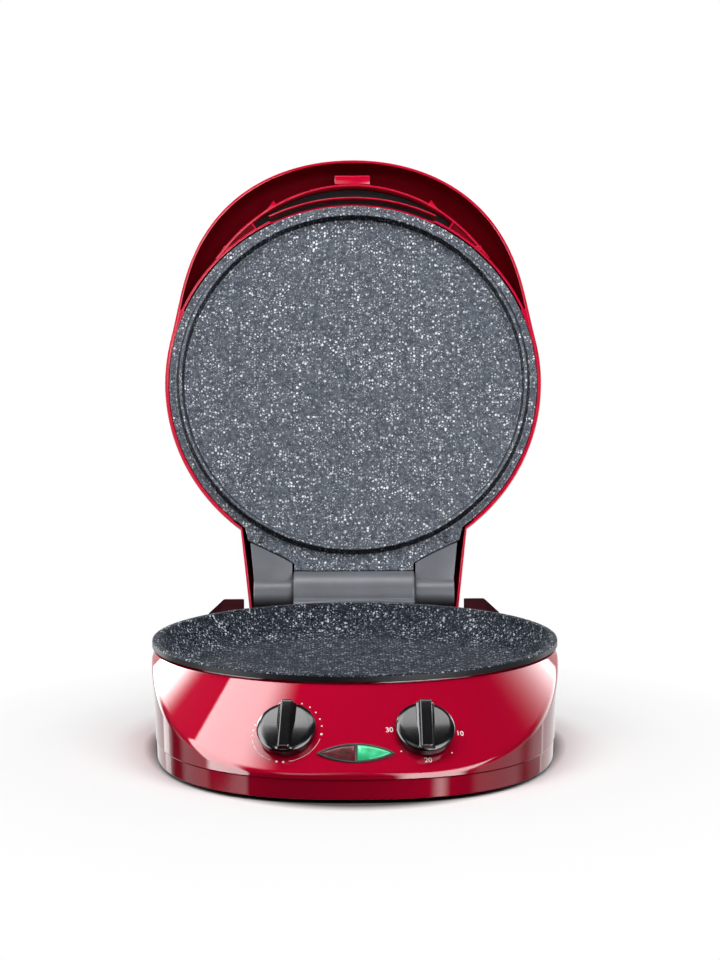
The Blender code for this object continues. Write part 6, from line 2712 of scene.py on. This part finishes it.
@dataclass
class Studio:
    """The pale floor, the white surroundings, the lamps and the camera.

    Attributes:
        sky: The surroundings' light where they aren't seen.
        floor_half: The floor's half width.
        base_radius: The base's outline on the floor, at its sides and behind.
        base_front: How far its outline reaches in front.
        fades: Where a fade of the floor starts and ends, as shares of the outline, and how white it gets.
        focal: The camera's focal length in millimetres.
        angles: How far it looks down, to the right and askew, in degrees.
        eye: Its place.
        boxes: The lamps.
    """

    sky: float = 0.15
    floor_half: float = 30.0
    base_radius: float = 168 * MM
    base_front: float = 236 * MM
    fades: tuple[Corner, Corner] = ((1.02, 1.25, 0.45), (1.25, 2.3, 0.55))
    focal: float = 115.76
    angles: Corner = (7.522, 0.271, 0.164)
    eye: Corner = (-7.3 * MM, -2555.7 * MM, 557.05 * MM)
    boxes: tuple[SoftBox, ...] = (
        SoftBox("left softbox", (-1.2, -1.1, 1.9), (0, 0, 0.15), 0.9, 1.0, 17.0),
        SoftBox("right softbox", (1.3, -1.1, 1.9), (0, 0, 0.15), 0.9, 1.0, 22.0),
        SoftBox("overhead softbox", (0.0, -0.6, 2.3), (0, 0, 0.1), 1.4, 0.8, 27.0),
    )

    def backdrop(self) -> None:
        """The surroundings: white where they are seen, and a soft light elsewhere."""
        world = bpy.data.worlds.new("studio")
        bpy.context.scene.world = world
        world.use_nodes = True
        board = NodeTree(world.node_tree)
        path = board.add("ShaderNodeLightPath")
        seen = path.outputs["Is Camera Ray"]
        for name in ("Is Glossy Ray", "Is Transmission Ray"):
            seen = board.sum("MAXIMUM", seen, path.outputs[name])
        strength = board.add("ShaderNodeMapRange", {"Value": seen, "To Min": self.sky, "To Max": 1.0})
        background = board.tree.nodes["Background"]
        board.feed(background.inputs["Color"], WHITE)
        board.feed(background.inputs["Strength"], strength.outputs["Result"])

    def reach_on_floor(self, board: NodeBoard) -> Socket:
        """The distance from the middle of the floor, which is 1 at the base's outline.

        Args:
            board: The material's nodes.

        Returns:
            The distance's socket.
        """
        place = board.add("ShaderNodeSeparateXYZ", {"Vector": board.place})
        across = board.sum("DIVIDE", place.outputs["X"], self.base_radius)
        behind = board.sum("DIVIDE", place.outputs["Y"], self.base_radius)
        ahead = board.sum("DIVIDE", place.outputs["Y"], -self.base_front)
        along = board.sum("MAXIMUM", behind, ahead)
        squares = [board.sum("MULTIPLY", value, value) for value in (across, along)]
        return board.sum("SQRT", board.sum("ADD", *squares), 0.0)

    def white_share(self, board: NodeBoard, reach: Socket) -> Socket:
        """How far the floor has faded into white, by its distance from the base's outline."""
        shares = [board.remap(reach, near, far, 0.0, share) for near, far, share in self.fades]
        return board.sum("ADD", *shares)

    def floor(self) -> None:
        """A wide pale floor that keeps the appliance's shadow, adds a painted one at the base, and fades into
        white.
        """
        mesh = bpy.data.meshes.new("floor")
        half = self.floor_half
        corners = [(x, y, TABLE_LEVEL) for x, y in boxed(-half, half, -half, half)]
        mesh.from_pydata(corners, [], [(0, 1, 2, 3)])
        board = NodeBoard("pale floor")
        path = board.add("ShaderNodeLightPath")
        reach = self.reach_on_floor(board)
        # Painted shadow: the floor is darkened under and just around the base's outline.
        near = board.blend(board.remap(reach, 0.98, 1.06), (0.10, 0.10, 0.10, 1), (0.84, 0.84, 0.84, 1))
        colour = board.blend(path.outputs["Is Diffuse Ray"], near, (0.12, 0.12, 0.12, 1))
        board.set(Base_Color=colour, Roughness=0.85, Specular_IOR_Level=0.0)
        share = board.sum("MULTIPLY", self.white_share(board, reach), path.outputs["Is Camera Ray"])
        white = board.add("ShaderNodeEmission", {"Color": WHITE, "Strength": 1.0})
        mixed = board.add("ShaderNodeMixShader")
        board.feed(mixed.inputs[0], share)
        board.feed(mixed.inputs[1], board.shader.outputs[0])
        board.feed(mixed.inputs[2], white.outputs[0])
        board.surface(mixed.outputs[0])
        mesh.materials.append(board.material)
        floor = placed("floor", mesh)
        floor.visible_glossy = False

    def camera(self) -> None:
        """The camera at the photograph's place."""
        lens = bpy.data.cameras.new("camera")
        lens.sensor_fit = "AUTO"
        lens.sensor_width = 36.0
        lens.lens = self.focal
        lens.clip_end = 100.0
        holder = placed("camera", lens)
        pitch, yaw, roll = (math.radians(angle) for angle in self.angles)
        ahead = Vector((math.sin(yaw) * math.cos(pitch), math.cos(yaw) * math.cos(pitch), -math.sin(pitch)))
        across = Vector((math.cos(yaw), -math.sin(yaw), 0))
        down = ahead.cross(across)
        right = across * math.cos(roll) + down * math.sin(roll)
        up = across * math.sin(roll) - down * math.cos(roll)
        turn = Matrix((right, up, -ahead)).transposed()
        holder.matrix_world = Matrix.Translation(self.eye) @ turn.to_4x4()
        bpy.context.scene.camera = holder

    def build(self) -> None:
        """Sets the studio up."""
        bpy.context.scene.view_settings.view_transform = "Standard"
        self.camera()
        self.backdrop()
        self.floor()
        Surround().build()
        for box in self.boxes:
            box.build()


def main() -> None:
    """Builds the whole picture."""
    logging.basicConfig(level=logging.INFO, format="%(name)s: %(message)s")
    Studio().build()
    plan = BasePlan()
    copies = CopiesRecipe()
    ribbons = RibbonRecipe()
    Base(plan).build(copies)
    left = PanelSeat(plan, math.radians(-15.5), 46 * MM, math.radians(-8), math.radians(2))
    right = PanelSeat(plan, math.radians(15.5), 46 * MM, math.radians(8), math.radians(-4.5))
    Knob(left, "thermostat_knob", Body.THERMOSTAT).build()
    Knob(right, "timer_knob", Body.TIMER).build()
    small, big = 0.62, 0.95
    marks = [(turn, small) for turn in (19.5, 35.0, 49.9, 64.7, 78.7)]
    marks += [(turn, big) for turn in (94.3, 180.0, -168.9)]
    marks += [(turn, small) for turn in (-93.1, -83.7, -73.8)]
    arcs = ((103.6, 170.3), (-159.0, -103.4))
    Dial("thermostat_marks", left, dotted(27.6 * MM, marks), arcs).build(copies, ribbons)
    dots = dotted(27.4 * MM, [(turn, small) for turn in (48.5, 134.1, -131.5)])
    figures = (("10", 28.5 * MM, -0.5 * MM), ("20", -0.2 * MM, -26.5 * MM), ("30", -27.8 * MM, 1.5 * MM))
    Dial("timer_marks", right, dots, figures=figures).build(copies, ribbons)
    Indicator(PanelSeat(plan, 0.0, 64 * MM, 0.0)).build()
    Hinge(plan).build()
    lid = LidPlan()
    LidShell(lid).build()
    LidPlate(lid).build(copies)


if __name__ == "__main__":
    main()
